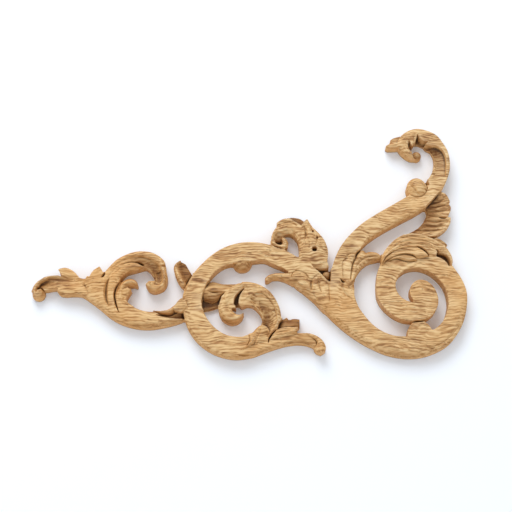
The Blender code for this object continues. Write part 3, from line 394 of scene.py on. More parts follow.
def carveInnerVolute(relief):
    # Stem, small leaf and low webs that carry the volute inside the C scroll
    relief.strip([(-141, 0), (-130, 3), (-118, 3)], [(-140, -9), (-128, -7), (-119, -3)], floor)
    relief.strip(
        [(-140, 17), (-127, 20.2), (-118, 18.2), (-105, 18.2), (-92, 19)],
        [(-142, 6), (-128, 7), (-116, 6), (-100, 8)], (dip, bed, edge, dip))
    relief.strip(
        [(-142, 8), (-134, 9.5), (-126, 8), (-115, 8.5)],
        [(-142, 3), (-134, 1), (-127, -0.5), (-121, 2.5), (-115, 8.5)], (edge, bed, low))
    relief.strip([(-94, 16), (-106, 5), (-106, -4)], [(-92, 10), (-98, 3), (-99.5, -4)], floor)
    # Outer lobe with its tooth, and the curl below it
    relief.strip(
        [(-94, 19.2), (-103, 17.5), (-111, 12.5), (-117, 6), (-120, 0), (-121.5, -9)],
        [(-96.3, 12.7), (-102, 8), (-105.3, 3), (-106, -2.5), (-103.8, -8.3), (-103.8, -8.3),
         (-109.6, -6.6)], (edge, band, band, edge), (edge, band, edge, edge))
    relief.strip(
        [(-121.5, -6), (-120.5, -12.5), (-117.5, -18), (-113, -21.5), (-107.5, -22.9), (-102, -21.4),
         (-97.8, -17.5), (-96, -12.8)],
        [(-109.6, -6), (-108, -10), (-105, -13), (-101.4, -14.6), (-98, -13.4), (-96, -12.8)],
        (edge, band, band, edge), (floor, edge, band, edge))
    # Inner lobe, hollowed inside its rim
    relief.strip(
        [(-98, 19.2), (-92, 19.3), (-85, 18), (-77, 14.5), (-70, 9), (-65, 2), (-61.3, -6), (-59.5, -14),
         (-59.5, -21), (-62, -28), (-67, -35), (-72, -41)],
        [(-96, 12.5), (-100, 6.5), (-101.5, 1), (-101.5, -3), (-98.5, -6.2), (-94, -4.6), (-89, -4.6),
         (-84, -8), (-79.5, -13.5), (-78, -19), (-79.5, -25), (-83, -31), (-84, -38)],
        (edge, band, band, edge, edge), (edge, band, edge, dip, dip))
    relief.hollow(
        [(-90, 3), (-84.5, 7.6), (-79, 8), (-73.6, 4.5), (-68.6, -1), (-65.3, -7.5), (-63.6, -14),
         (-63.8, -21), (-67, -29), (-72, -36)],
        [(-90, 3), (-88.5, -1), (-85.5, -5.5), (-80.5, -11.5), (-78, -15.5), (-77.8, -20.5), (-79.2, -26),
         (-84, -33)], (edge, edge, bed, edge), (edge, dip, low, dip))


def carveCScroll(relief):
    # Flat band of the C scroll, open to the lower right, and the long leaf that runs on from its bottom
    outer = [(-86, -55), (-95, -56.8), (-104, -57.5), (-114, -56.2), (-125, -52.6), (-135, -46.8),
             (-144, -38.5), (-150.5, -29), (-154.8, -18), (-157, -6), (-157, 4), (-155, 12), (-151, 21),
             (-145, 30.3), (-137, 39.5), (-127, 48.2), (-115, 55), (-103, 59), (-91, 60.4), (-80, 59.6),
             (-68, 56.6), (-55, 51.2)]
    relief.boss((-98, 41.5), 9.8, low, band)
    relief.strip(
        outer,
        [(-84, -36), (-91, -35), (-98, -37), (-107, -36.7), (-115, -34.5), (-122.5, -29.8), (-129, -23.5),
         (-134, -16), (-137.3, -7), (-138, 1), (-136.5, 8.5), (-133.5, 16.5), (-129, 24.5), (-123, 31),
         (-115, 36.3), (-105, 38.6), (-95, 39.5), (-86, 41), (-76, 41.5), (-66, 37), (-56, 32.8),
         (-46.5, 26)], band)
    relief.strip(
        [(-63, -29), (-61, -22), (-58, -18.6), (-53.8, -15.4), (-53.8, -15.4), (-51.4, -18.4),
         (-51.4, -18.4), (-47.1, -17), (-41, -17.4)],
        [(-66, -36), (-55, -32), (-46, -30), (-41, -26.3)], (low, dip, low))
    relief.strip(
        [(-106, -54.5), (-97, -49.5), (-86, -44), (-70, -39), (-56, -36), (-44, -33.2), (-36, -32.9),
         (-31, -34), (-26, -38), (-24.5, -42.5), (-26.5, -47)],
        [(-106, -54.5), (-98, -56), (-90, -55.9), (-86, -55), (-78, -51.8), (-67, -47.8), (-56, -44.5),
         (-45, -42.8), (-36, -43.2), (-30, -45), (-26.5, -47)],
        (band, band, band, edge), (bed, bed, bed, dip))
    relief.chamfer(
        [(-56, -44.5), (-67, -47.8), (-78, -51.8), *outer[:17]],
        0.7 * gouges["chamferWidth"], 0.7 * gouges["chamferDepth"])


def carveCScrollLeaves(relief):
    # Leaf over the end of the flat band, and the lobe that follows it
    relief.strip(
        [(-100, -51.5), (-93.8, -47.1), (-90.9, -40.6), (-91.5, -34), (-91.5, -34), (-87.5, -32.6),
         (-85, -29.6), (-85, -29.6), (-82.2, -26.9), (-78.2, -24.5)],
        [(-98.5, -50.6), (-89, -45.8), (-79, -42), (-71.3, -39.2), (-72.1, -34.7), (-70.9, -31.1),
         (-73.5, -26.5), (-78.2, -24.5)], (ease, leaf, band), (edge, leaf, edge))
    relief.strip(
        [(-76, -41.4), (-71.3, -39.4), (-67.2, -32.4), (-61.4, -28.5), (-53.2, -26.7), (-42.6, -27.3)],
        [(-76, -41.4), (-66, -38.6), (-54, -36), (-45, -33.6), (-42.6, -27.3)],
        (ease, band, band), (edge, leaf, edge))
    # Curl at the end of the tail
    relief.strip(
        [(-38, -33), (-32, -33.2), (-25.4, -35.4), (-19.1, -40), (-15.8, -46), (-16, -50.3), (-20.3, -53.4)],
        [(-36, -33.4), (-31, -35.6), (-26.4, -38.6), (-24, -42), (-24.4, -45.8), (-26.9, -48),
         (-24.8, -51.4), (-20.3, -53.4)], edge, (edge, band, edge))
    relief.score([(-30, -37), (-24.8, -40.6), (-24.2, -45), (-27.4, -48.6)])
    relief.crack([(-64, -29.5), (-68.3, -34), (-71.2, -39), (-72, -43)])
    relief.vein([(-87, -46), (-83, -38), (-79, -29)], [(-70, -38), (-62, -33), (-54, -31), (-46, -30)])


def carveMainStem(relief):
    # Thin leaf tip at the middle, then the flat stem down to the big scroll
    relief.strip(
        [(-74.6, 20), (-75.2, 23.4), (-72.4, 26.4), (-67, 28.4), (-60, 28.7), (-54, 28), (-49, 27)],
        [(-74.6, 20), (-71.6, 20.6), (-68, 23.2), (-62, 23.6), (-55, 21.5), (-47, 17.4)],
        (dip, edge, dip), band)
    relief.strip(
        [(-62, 55), (-50, 49), (-38, 41.5), (-29, 36), (-20, 28.5), (-10, 19.5), (-6, 36), (6, 46),
         (14, 46)],
        [(-52, 30), (-47.5, 20), (-45, 16), (-35, 8), (-25, -1.2), (-15, -11.2), (0, -12), (13, 5)], band)


def carveBigScroll(relief):
    # One flat band that winds in to the round eye of the scroll
    outer = [(-25, -1.2), (-15, -11.2), (-5, -21.5), (6, -31.2), (18, -39.8), (31.5, -47.4), (46, -53.4),
             (62, -56.3), (78, -55.6), (93, -50.8), (106, -43), (116, -31), (122, -18), (125, -4), (125, 8),
             (121.8, 19), (116, 29.5), (110, 37.5), (98, 46), (80, 50), (58, 49), (44, 42), (38, 32),
             (36, 22), (35.5, 12), (36.3, 4), (40, -4), (46, -11), (54, -17), (63, -20.6), (73, -21.6),
             (83, -19.8), (90.5, -14.5), (95.2, -7), (96.5, 1), (94.5, 9.5), (90, 16.5), (83.5, 20.6),
             (77, 20.8), (71.8, 17.4), (69, 12.5), (68.6, 7.5)]
    inner = [(-12, 16), (12.5, 14), (13.5, 5), (17, -6), (23, -15.5), (31, -25), (41, -32), (52, -36),
             (65, -36.8), (78, -36), (90, -30.5), (98, -24), (103.5, -15), (106.2, -5), (106, 4),
             (103, 14.5), (97, 23), (88.5, 29.8), (78.5, 33.3), (68.5, 32.5), (60.5, 28), (56, 21.5),
             (54.5, 14.5), (56.3, 8), (60, 3), (65.5, -0.6), (73.4, -2.6), (73.4, -2.6), (70.4, 2.6),
             (68.6, 7.5)]
    relief.strip(outer, inner, band)
    relief.boss((77, -33.2), 12, band, band)
    relief.chamfer([(-66, 23.3), (-62, 23.6), (-55, 21.5), (-45, 16), (-35, 8), *outer[:10]])
    relief.chamfer(outer[5:15], gouges["rimWidth"], gouges["rimDepth"])
    relief.score([(118.3, -17), (117.3, -22.9), (112.2, -31), (104.8, -38.6), (96.8, -43.9), (87.2, -47.4),
                  (76, -49.4)])
    relief.crack([(66, -23), (72, -21.8), (82, -20.5), (88, -17)])


def carveUprightStem(relief):
    # Upright stem that sweeps up to the right and over into the curl at the top
    lower = [(12.5, 12), (13.5, 26), (14.5, 38), (16, 47), (21, 54.5), (28, 61.7), (37, 68.5), (50, 76.5),
             (66, 85.3), (80, 93), (89, 99.4), (98, 109), (105.8, 118.5), (110.7, 128), (113.7, 138),
             (114.2, 148), (112.3, 158.5), (107.8, 167.3), (100.8, 175.4)]
    relief.strip(
        [(-10, 17), (-9.3, 28), (-7, 38), (-3.2, 48), (2.6, 58.5), (10.6, 68.4), (22, 79.3), (36, 89),
         (52, 98.6), (68, 108.1), (80, 116), (88.7, 124.5), (94.4, 132.5), (98, 141.5), (99.2, 150),
         (98.2, 156.5), (95, 162), (90.3, 167.3)], lower, band)
    relief.chamfer(lower[4:11], 0.6 * gouges["chamferWidth"], 0.6 * gouges["chamferDepth"])


def carveTopCurl(relief):
    # Head of the curl, with two side lobes and a small scroll at its end
    relief.strip(
        [(73, 173), (82, 179), (94, 172)], [(72.5, 166), (77, 168.3), (83, 169), (91, 165.5)], floor)
    relief.strip(
        [(66, 177), (58, 174.8), (54.6, 172.4), (54.4, 170.3)], [(68, 167), (60, 168), (54.4, 170.3)],
        (dip, bed))
    relief.strip(
        [(112.3, 158.5), (107.8, 167.3), (102.4, 175.4), (94, 180.6), (84, 183.4), (76, 182.4),
         (68.5, 178.5), (63.2, 172.5), (61.5, 166.5), (64.3, 160), (68, 155.9), (72, 152.8), (76.6, 151.3),
         (81.5, 152.2), (85.3, 156.5)],
        [(97, 161), (92, 163), (89.7, 166), (92.2, 169), (92.2, 169), (87.5, 169.8), (84.5, 172.2),
         (82.3, 176.5), (82.3, 176.5), (80, 169.5), (76.5, 164.5), (76.5, 164.5), (73.3, 170), (73.3, 170),
         (72.3, 164.5), (73.8, 159.6), (78, 155.8), (85.3, 156.5)], band, (bed, edge, band, edge))
    relief.strip(
        [(69, 175), (63, 168.8), (57.1, 167), (52, 166.2), (49.4, 164.2)],
        [(70, 164), (63, 163.2), (56.7, 162.8), (51.7, 162.8), (49.4, 164.2)], band, (edge, band, edge))
    relief.boss((81.2, 155.8), 4.8, low, bed)
    relief.score([(84.4, 158.6), (80.6, 159.4), (78.4, 156.4), (80.2, 153.6), (82.4, 155.2)])
    # Hollow of the stem, up to the lip under the curl
    relief.hollow(
        [(95, 131), (96.5, 138), (97.2, 145), (96, 152), (93.2, 157.5), (89.6, 161.6), (88.6, 164.4),
         (89.8, 166.4)],
        [(109.3, 131), (109.8, 138), (110.2, 146.5), (109.6, 153.3), (107.3, 158.7), (102, 163.5),
         (95, 164.9), (89.8, 166.4)], (band, edge, edge, edge), (low, floor, floor, low))


def carveBallCurl(relief):
    relief.strip([(79, 130), (84.5, 130.6), (90.5, 127)], [(80, 126), (85, 124), (92, 121)], floor)
    relief.boss((79.8, 118.6), 10.6, edge, crown)
    relief.crack([(79.5, 129.6), (84, 128.2), (87.6, 125), (90, 120)])
    relief.vein([(72, 120), (76, 117), (79, 112), (83, 109.5)])


def carveFan(relief):
    # Leaf behind the upright stem, with three pointed lobes to the right, and the web at its foot
    relief.strip([(82, 72), (97, 70)], [(82, 60), (99, 60)], floor)
    relief.strip(
        [(95, 110), (88, 102.5), (88.7, 97), (89.8, 92.7), (88, 88.6), (85, 83), (81, 78.6), (76, 75),
         (71, 72.5), (64, 68.5)],
        [(104, 114.5), (108.5, 112.5), (111.3, 108), (112.6, 103.5), (111.3, 101.3), (111.3, 101.3),
         (113.2, 98.5), (112.8, 94), (110.5, 90), (106.5, 86.8), (106.5, 86.8), (109.5, 87.7), (112.8, 86.8),
         (112.8, 86.8), (112, 81), (108.5, 76), (103.5, 71.8), (97, 67.5), (97, 67.5), (85, 66)],
        (low, dip, bed, edge))
    relief.vein(
        [(110, 109), (101, 104.8), (92, 103.4)], [(112, 101.6), (101, 99.6), (91, 99)],
        [(112.6, 96), (101, 94.6), (91, 95)], [(108, 87), (100, 89.2), (90.5, 91)],
        [(112, 84), (98, 83.6), (88, 86)], [(109, 79), (95, 78.6), (84, 80)],
        [(105, 74), (91, 73.8), (78, 75)])
    relief.crack([(109, 87), (105.5, 87), (101, 88)])


def carveInnerLeaf(relief):
    # Leaf on the inside of the upright stem: two flat lobes, and the tip that reaches the big scroll
    relief.strip(
        [(11.8, -0.6), (4.6, 7.3), (1.7, 13.6), (0.8, 19.8)], [(13.4, 5), (12.8, 10), (13, 16), (14, 22)],
        (ease, band, band), (ease, leaf, band))
    relief.strip(
        [(3.1, 20.5), (2.1, 25.2), (1.8, 30.5), (1.6, 34.8), (2.4, 40.1), (5.9, 43.8), (5.9, 43.8),
         (7.4, 47.2), (11.6, 49.1), (15.8, 47.4)],
        [(14, 19), (14.5, 26), (15, 34), (15.3, 41), (15.8, 47.4)], (ease, band, band), (ease, leaf, ease))
    relief.score([(12.5, -2), (4.2, 6.9), (1.2, 13.4), (0.2, 20)])
    relief.strip(
        [(9.6, 22), (10.6, 30), (11.3, 34.8), (12.9, 40.1), (15.2, 43.8), (17.3, 48.2), (21, 52.4),
         (24.1, 51.9), (25.6, 49.2), (25.6, 49.2), (28.1, 50.5), (33.3, 51), (38.3, 49.6), (40.8, 46.6),
         (41, 43.6)],
        [(12.5, 12), (14, 21), (17.5, 29), (23, 36.3), (30, 40.8), (36, 42.2), (41, 43.6)],
        (ease, band, band, edge), (bed, band, edge, bed))
    relief.crack([(15, 44.4), (16.8, 48.4), (21.5, 53.5)], [(0, 22.5), (2.4, 19.4), (4.8, 18.6)])
    relief.vein([(15.5, 33), (19, 39), (26, 44.5), (36, 46.4)])


def carveAcanthus(relief):
    # Large leaf laid over the top of the big scroll, its lobes rolling to the right
    relief.strip(
        [(96, 66.5), (101, 64.7), (106, 61.2), (108.7, 58.3)], [(95, 60), (103, 58.5), (108.7, 58.3)],
        (bed, dip))
    relief.strip(
        [(70, 66), (82, 66.5), (93, 64.8), (102, 59.8), (108.5, 52.5), (112.3, 44.5), (112.5, 39),
         (110.5, 35)],
        [(70, 50), (85, 50), (97, 46), (103, 42.5), (107, 39), (110.5, 35)],
        (band, leaf, leaf, band), (edge, band, dip, low))
    relief.strip(
        [(40.5, 37.5), (42, 45.5), (46, 53), (51.5, 59.5), (58, 64.8), (65, 68.2), (73, 69.8), (85, 67.5),
         (94, 62), (99.5, 55), (100.5, 48), (98.5, 45.8)],
        [(42, 36.5), (47, 42), (58, 46), (75, 47), (88, 46.5), (98.5, 45.8)],
        (band, leaf, crown, leaf, leaf), (band, leaf, leaf, band))
    relief.hollow(
        [(97, 49.5), (103, 48.5), (108, 45), (110.2, 40), (110, 36)],
        [(96.5, 45.5), (100.5, 43.8), (104, 41.5), (107, 38.5), (108.5, 35.5)], (low, floor))
    relief.vein(
        [(44, 47), (50, 55), (58, 62), (68, 65.8), (80, 65.6), (92, 62.8)],
        [(46, 47.4), (52, 53), (62.4, 59.8), (80, 61.8), (93, 58.6), (100, 53)],
        [(48, 47), (56, 52.8), (66, 56.8), (78.4, 57.6), (90, 54.6), (96, 51)])
    # The two lobes that roll over the flat ring
    relief.strip(
        [(41.5, 37), (45.5, 44), (53, 50), (62, 53.6), (72, 54.9), (79.5, 53.4), (85.5, 49.4), (88, 44.8)],
        [(42, 36), (45.5, 40.2), (51, 42.6), (57, 43.6), (62.5, 41.6), (68, 40), (73, 39.8), (77, 41.6),
         (82, 42.6), (88, 44.8)], (band, leaf, leaf, band), (leaf, crown, crown, band))
    relief.strip(
        [(47, 39.4), (52, 43.6), (58.5, 46.6), (64, 47.8), (68.5, 47.5), (73, 46), (76.4, 42.8),
         (76.6, 40.4)],
        [(47, 39.4), (52, 41.4), (56.5, 42.2), (62, 40.4), (69.9, 38.9), (76.6, 40.4)],
        (band, leaf, leaf, edge))
    relief.crack([(76, 55.4), (81, 53.6), (86, 49.6), (89.3, 45)], [(95.5, 52), (98.2, 50.5), (99.4, 46.5)])
    relief.vein([(50, 45.4), (58, 49.6), (67, 51), (77, 49.4)])


def carveMiddleLeaf(relief):
    # Leaf scroll on top of the main stem: a low wedge behind, the lobe at the right, the hook at the left
    relief.strip(
        [(-54, 88.6), (-50.9, 89.6), (-44.9, 89.8), (-39.5, 88.6), (-34.6, 85.4)],
        [(-54, 80), (-44, 78), (-33, 77)], floor)
    relief.strip([(-67, 61), (-59, 60)], [(-66, 53), (-59, 52)], low)
    relief.strip(
        [(-41, 42), (-41, 55), (-42, 64), (-42, 73), (-38, 78.5), (-35, 82.5), (-32, 83.6)],
        [(-22, 30), (-14, 38), (-12, 46), (-12.5, 55), (-16, 64), (-21.5, 71), (-27, 76.5), (-30.5, 82),
         (-32, 83.6)], (band, band, band, edge), (leaf, leaf, leaf, edge))
    relief.strip(
        [(-69, 61), (-68.5, 67), (-66, 73), (-62.5, 77.5), (-62.5, 77.5), (-63.3, 80.3), (-60, 83.2),
         (-55, 85.2), (-50, 85.6), (-45, 82.3), (-38.3, 77.6), (-33, 68)],
        [(-65, 58.5), (-59.5, 64), (-57, 68), (-53, 70), (-48, 69), (-43.5, 64.5), (-41, 58), (-40.5, 50),
         (-38, 44)], (edge, band, band, bed), (leaf, leaf, leaf, band))
    relief.hollow(
        [(-66.5, 72), (-66.5, 65), (-65, 59), (-60, 56)], [(-57.5, 71), (-58, 66), (-58, 61), (-57, 57)],
        (band, edge, edge), (dip, floor, floor))
    relief.strip([(-65.5, 62), (-64, 58), (-60, 56)], [(-57.6, 64), (-57.4, 61), (-57, 58)], floor)
    relief.strip(
        [(-69.5, 62), (-69, 58.8), (-64.4, 55.9), (-57.4, 54), (-53.4, 54.8), (-51.8, 60.4), (-55.6, 65.4)],
        [(-65, 63), (-64.2, 60.2), (-61.6, 58.4), (-58.6, 58.4), (-57, 60.4), (-58.4, 63.6), (-55.6, 65.4)],
        (edge, band, edge))
    relief.crack([(-70, 57.5), (-62, 54.8), (-53, 51)])
    relief.score([(-26.6, 72), (-22.3, 66), (-24.2, 57.9), (-25.5, 52.9)])
    relief.vein([(-64, 76), (-57, 80.5), (-49, 81.5), (-42, 76.5)], [(-37, 79), (-34, 71), (-35, 61)])
    relief.pit((-25.5, 53), 2.4, levels["eye"])
    relief.pit((-27, 71.8), 0.9, dip)
    relief.pit((-22.8, 65.2), 0.9, dip)
    # Two small lobes that fill the corner against the upright stem
    relief.strip(
        [(-31, 40), (-20, 42), (-13, 39.5), (-11.5, 34.8)],
        [(-24, 30), (-19, 31), (-14, 31.8), (-11.5, 34.8)], (band, edge, dip))
    relief.strip([(-26, 33), (-10, 33)], [(-24, 22), (-8, 19)], floor)
    relief.boss((-13.5, 27.5), 4.3, low, bed)


def carveJointLeaves(relief):
    # Two overlapping leaves that swell out of the main stem and fade into it
    relief.strip(
        [(-29.1, 15), (-28.4, 21), (-25.5, 25.2), (-21.9, 27.4), (-19.4, 25.4), (-18.9, 22.1), (-18.9, 22.1),
         (-16.4, 20.4), (-13, 18.6), (-11.4, 13), (-10.7, -1)],
        [(-29.1, 15), (-28, 11), (-24.5, 6.5), (-19, 2.5), (-12.5, -1)],
        (ease, band, band), (ease, band, band))
    relief.strip(
        [(-49, 24), (-48.3, 27.3), (-46.3, 30.1), (-40.7, 31), (-35.6, 29), (-31.6, 24.2), (-29.6, 18.9),
         (-29, 10)],
        [(-49, 24), (-46, 21.4), (-40, 17.4), (-34, 12.8), (-30, 8.6)],
        (ease, leaf, band), (ease, band, band))
    relief.vein([(-29.6, 23), (-29.2, 17), (-28.6, 11)], [(-22.4, 24), (-21.4, 16), (-19, 8)])


def carveFineGouges(relief):
    # Shallow flutes that only this finer surface can carry: left leaf, volute inside the C scroll,
    # middle leaf, and the acanthus over the big scroll
    relief.flute(
        [(-219, 7), (-217, 13), (-212.5, 17.5), (-207, 18.5)], [(-221, -2), (-220, 8), (-217, 15)],
        [(-117, 0), (-112, 8), (-105, 13)], [(-64, -20), (-66, -8), (-72, 3), (-80, 10), (-90, 14)],
        [(-31, 78), (-26, 70), (-19, 62), (-16, 52)], [(-35, 72), (-31, 62), (-31, 50)],
        [(-64, 72), (-58, 78), (-50, 81), (-43, 78)], [(86, 63), (97, 58), (104, 50), (107, 43)])


def carveOnlay(pitch):
    # The forms behind come first, and each next one is laid over them
    relief = Relief(pitch)
    for carve in (carveBackLeaf, carveLeftLeaf, carveInnerVolute, carveFan, carveMiddleLeaf, carveCScroll,
                  carveScrollBud, carveCScrollLeaves, carveMainStem, carveBigScroll, carveUprightStem,
                  carveInnerLeaf, carveTopCurl, carveBallCurl, carveAcanthus, carveJointLeaves,
                  carveFineGouges):
        carve(relief)
    relief.closeSlits()
    return relief


# Sizes of the mask for the painted crevice shade and crest highlight, in metres
shadeMask = {
    "hollowReach": 0.0024,      # how far round a point the height of the wood is averaged
    "hollowDepth": 0.0022,      # this far below that average is a full crevice
    "unshadedReach": 0.0042,       # the chamfers this near the outline get no painted crevice shade
}


def easeEdges(relief):
    # Rounds the top edge along every outline, as sandpaper does
    reach = max(1, round(gouges["easeWidth"] / relief.pitch))
    solid = (relief.depth > 0.0).astype(float)
    bare = np.clip(2.0 * (1.0 - meanNear(solid, reach)), 0.0, 1.0)
    relief.height -= gouges["easeDepth"] * bare ** 2


def hollowness(relief):
    # How far each point lies below the wood round it, from -1 on a crest to 1 in a crevice; the mask for the
    # painted crevice shade and crest highlight
    reach = max(2, round(shadeMask["hollowReach"] / relief.pitch))
    solid = (relief.depth > 0.0).astype(float)
    around = meanNear(relief.height * solid, reach) / np.maximum(meanNear(solid, reach), 0.02)
    hollow = np.clip((around - relief.height) / shadeMask["hollowDepth"], -1.0, 1.0)
    wide = meanNear(solid, round(shadeMask["unshadedReach"] / relief.pitch))
    return np.where(hollow > 0.0, hollow * np.clip(2.0 * wide - 1.0, 0.0, 1.0) ** 2, hollow)


def crossings(solid, depth, height, x, z):
    # Where the outline crosses from one grid point to the next, along the last axis
    rows, columns = np.nonzero(solid[:, :-1] != solid[:, 1:])
    near = depth[rows, columns]
    share = near / (near - depth[rows, columns + 1])
    near = height[rows, columns]
    level = near + (height[rows, columns + 1] - near) * share
    step = np.array((x[rows, columns + 1] - x[rows, columns], z[rows, columns + 1] - z[rows, columns]))
    return rows, columns, x[rows, columns] + step[0] * share, z[rows, columns] + step[1] * share, level


def cellCorners(nodes, row, column):
    return (nodes[row, column], nodes[row, column + 1], nodes[row + 1, column + 1], nodes[row + 1, column])


def frontSurface(relief):
    # Points and faces of the carved side, cut to the outline by marching squares. The points on the
    # outline come last
    least = drawing["leastShare"] * relief.pitch
    depth = np.where(relief.depth < 0.0, np.minimum(relief.depth, -least), np.maximum(relief.depth, least))
    solid = depth > 0.0
    x, z = np.meshgrid(relief.x, relief.z)
    nodes = np.full(solid.shape, -1)
    nodes[solid] = np.arange(np.count_nonzero(solid))
    points = [np.column_stack((x[solid], z[solid], relief.height[solid]))]
    count = len(points[0])

    rows, columns, *places = crossings(solid, depth, relief.height, x, z)
    sideways = {key: count + order for order, key in enumerate(zip(rows.tolist(), columns.tolist()))}
    points.append(np.column_stack(places))
    count += len(rows)
    columns, rows, *places = crossings(solid.T, depth.T, relief.height.T, x.T, z.T)
    upwards = {key: count + order for order, key in enumerate(zip(rows.tolist(), columns.tolist()))}
    points.append(np.column_stack(places))

    filled = solid[:-1, :-1].astype(int) + solid[:-1, 1:] + solid[1:, 1:] + solid[1:, :-1]
    faces = np.column_stack(cellCorners(nodes, *np.nonzero(filled == 4))).tolist()
    rim = []
    for row, column in zip(*(part.tolist() for part in np.nonzero((filled > 0) & (filled < 4)))):
        edges = (sideways.get((row, column)), upwards.get((row, column + 1)),
                 sideways.get((row + 1, column)), upwards.get((row, column)))
        face = []
        for corner, crossing in zip(cellCorners(nodes, row, column), edges):
            if corner >= 0:
                face.append(int(corner))
            if crossing is not None:
                face.append(crossing)
        faces.append(face)
        rim += [pair for pair in zip(face, face[1:] + face[:1]) if min(pair) >= len(points[0])]
    return np.concatenate(points), faces, rim


def solidMesh(name, relief):
    # The carved face, the same outline on the flat back, and the wall between the two
    points, faces, rim = frontSurface(relief)
    count = len(points)
    front = np.column_stack((points[:, 0], -points[:, 2], points[:, 1]))
    back = front * (1.0, 0.0, 1.0)
    rear = [[corner + count for corner in reversed(face)] for face in faces]
    walls = [(end, start, start + count, end + count) for start, end in rim]
    mesh = bpy.data.meshes.new(name)
    mesh.from_pydata(np.concatenate((front, back)).tolist(), [], faces + rear + walls)
    mesh.update()
    return mesh


def thinOut(piece):
    # Fewer triangles where the wood is flat
    triangles = sum(len(face.vertices) - 2 for face in piece.data.polygons)
    modifier = piece.modifiers.new("thinOut", "DECIMATE")
    modifier.ratio = min(1.0, onlay["triangles"] / triangles)
    evaluated = piece.evaluated_get(bpy.context.evaluated_depsgraph_get())
    piece.data = bpy.data.meshes.new_from_object(evaluated)
    piece.modifiers.remove(modifier)


def gridValue(relief, field, x, z):
    # Reads a field of the grid between its points
    column = np.clip((x - relief.x[0]) / relief.pitch, 0, len(relief.x) - 2)
    row = np.clip((z - relief.z[0]) / relief.pitch, 0, len(relief.z) - 2)
    left, under = column.astype(int), row.astype(int)
    right, up = column - left, row - under
    lower = field[under, left] * (1 - right) + field[under, left + 1] * right
    upper = field[under + 1, left] * (1 - right) + field[under + 1, left + 1] * right
    return lower * (1 - up) + upper * up


class Value:
    # A socket that can be written in sums; numbers alone stay in Python
    def __init__(self, bench, socket):
        self.bench = bench
        self.socket = socket

    def operate(self, operation, first, second):
        return self.bench.node("ShaderNodeMath", {"operation": operation}, {0: first, 1: second})

    def __add__(self, other):
        return self.operate("ADD", self, other)

    def __radd__(self, other):
        return self.operate("ADD", other, self)

    def __sub__(self, other):
        return self.operate("SUBTRACT", self, other)

    def __rsub__(self, other):
        return self.operate("SUBTRACT", other, self)

    def __mul__(self, other):
        return self.operate("MULTIPLY", self, other)

    def __rmul__(self, other):
        return self.operate("MULTIPLY", other, self)


class Bench:
    # The nodes of one material
    def __init__(self, name):
        self.material = bpy.data.materials.new(name)
        self.material.use_nodes = True
        self.tree = self.material.node_tree
        self.shader = self.tree.nodes["Principled BSDF"]

    def node(self, kind, settings, sockets, output=0):
        made = self.tree.nodes.new(kind)
        for name, value in settings.items():
            if name == "stops":
                self.setStops(made.color_ramp, value)
            else:
                setattr(made, name, value)
        for name, value in sockets.items():
            self.plug(made.inputs[name], value)
        return Value(self, made.outputs[output])

    def plug(self, socket, value):
        if isinstance(value, Value):
            self.tree.links.new(value.socket, socket)
        else:
            socket.default_value = value

    def setStops(self, ramp, stops):
        while len(ramp.elements) < len(stops):
            ramp.elements.new(0.5)
        for element, (place, colour) in zip(ramp.elements, stops):
            element.position = place
            element.color = (*colour, 1.0)

    def noise(self, place, scale=1.0, detail=2.0, roughness=0.5):
        return self.node("ShaderNodeTexNoise", {}, {"Vector": place, "Scale": scale, "Detail": detail,
                                                    "Roughness": roughness})

    def axis(self, vector, name):
        return self.node("ShaderNodeSeparateXYZ", {}, {"Vector": vector}, name)

    def spread(self, value, low, high, first=0.0, last=1.0):
        # Clamped, from low..high to first..last
        return self.node("ShaderNodeMapRange", {}, {"Value": value, "From Min": low, "From Max": high,
                                                    "To Min": first, "To Max": last})

    def blend(self, share, first, second, kind="MIX"):
        # Mixes in a plain colour
        return self.node("ShaderNodeMix", {"data_type": "RGBA", "blend_type": kind},
                         {0: share, 6: first, 7: (*second, 1.0)}, 2)


# Rates are per metre, along and across the grain. A range gives the two values between which a thing
# grows, and then its amount at each, from 0 to 1 where only two are given
oakLook = {
    "pale": (0.705, 0.508, 0.268), "honey": (0.535, 0.327, 0.142), "tan": (0.385, 0.20, 0.078),
    # the last colour on the next line is painted shade, for crevices and the foot of the sides
    "streak": (0.205, 0.093, 0.033), "pore": (0.14, 0.07, 0.028), "paintedShade": (0.075, 0.036, 0.015),
    # on the next line the first colour is a painted highlight for the crests, the third painted shade for
    # deep recesses, and russet also paints bounce light on the sides
    "rim": (0.70, 0.53, 0.32), "russet": (0.66, 0.345, 0.11), "deep": (0.47, 0.35, 0.22),
    "left": (0.97, 0.90, 0.80),
    "drift": (7.0, 16.0), "driftHeight": 0.036,         # slow wander of the grain, up and down
    "ripple": (70.0, 60.0), "rippleHeight": 0.0042,     # and its small waves
    "rings": (11.0, 130.0),     # broad tones of the growth rings
    "streaks": (60.0, 440.0),   # thin dark streaks
    "fibre": (60.0, 1100.0),
    "lineSpacing": 0.0030, "wander": (28.0, 60.0), "lineWander": 26.0,
    "tone": {"rings": 0.18, "streaks": 0.40, "fibre": 0.18, "lines": 0.045, "rest": 0.12},
    "stops": ((0.385, "streak"), (0.44, "tan"), (0.492, "honey"), (0.57, "pale")),
    "patch": 11.0, "patchRange": (0.48, 0.70, 0.0, 0.45),
    "pores": (130.0, 1250.0), "poreRange": (0.60, 0.70), "poreRings": (0.62, 0.40), "poreShare": 0.75,
    "sideBounceRange": (-0.90, -0.30, 0.0, 0.62),             # by how much a face looks to the front
    "deepRange": (-0.0138, -0.0075), "frontRange": (-0.25, -0.6),
    "footShadeRange": (-0.0022, -0.0004, 0.0, 0.75), "uprightRange": (0.7, 0.3),
    "leftRange": (0.02, -0.16, 0.0, 0.75),
    "creviceShadeRange": (0.08, 0.85, 0.0, 0.88), "crestHighlightRange": (-0.15, -0.9, 0.0, 0.25),
    "roughness": (0.35, 0.65, 0.72, 0.50), "poreRoughness": 0.15,
    "bump": 0.24, "bumpHeight": 0.0004, "fibreRelief": 0.5, "poreRelief": 0.9, "specular": 0.32,
}


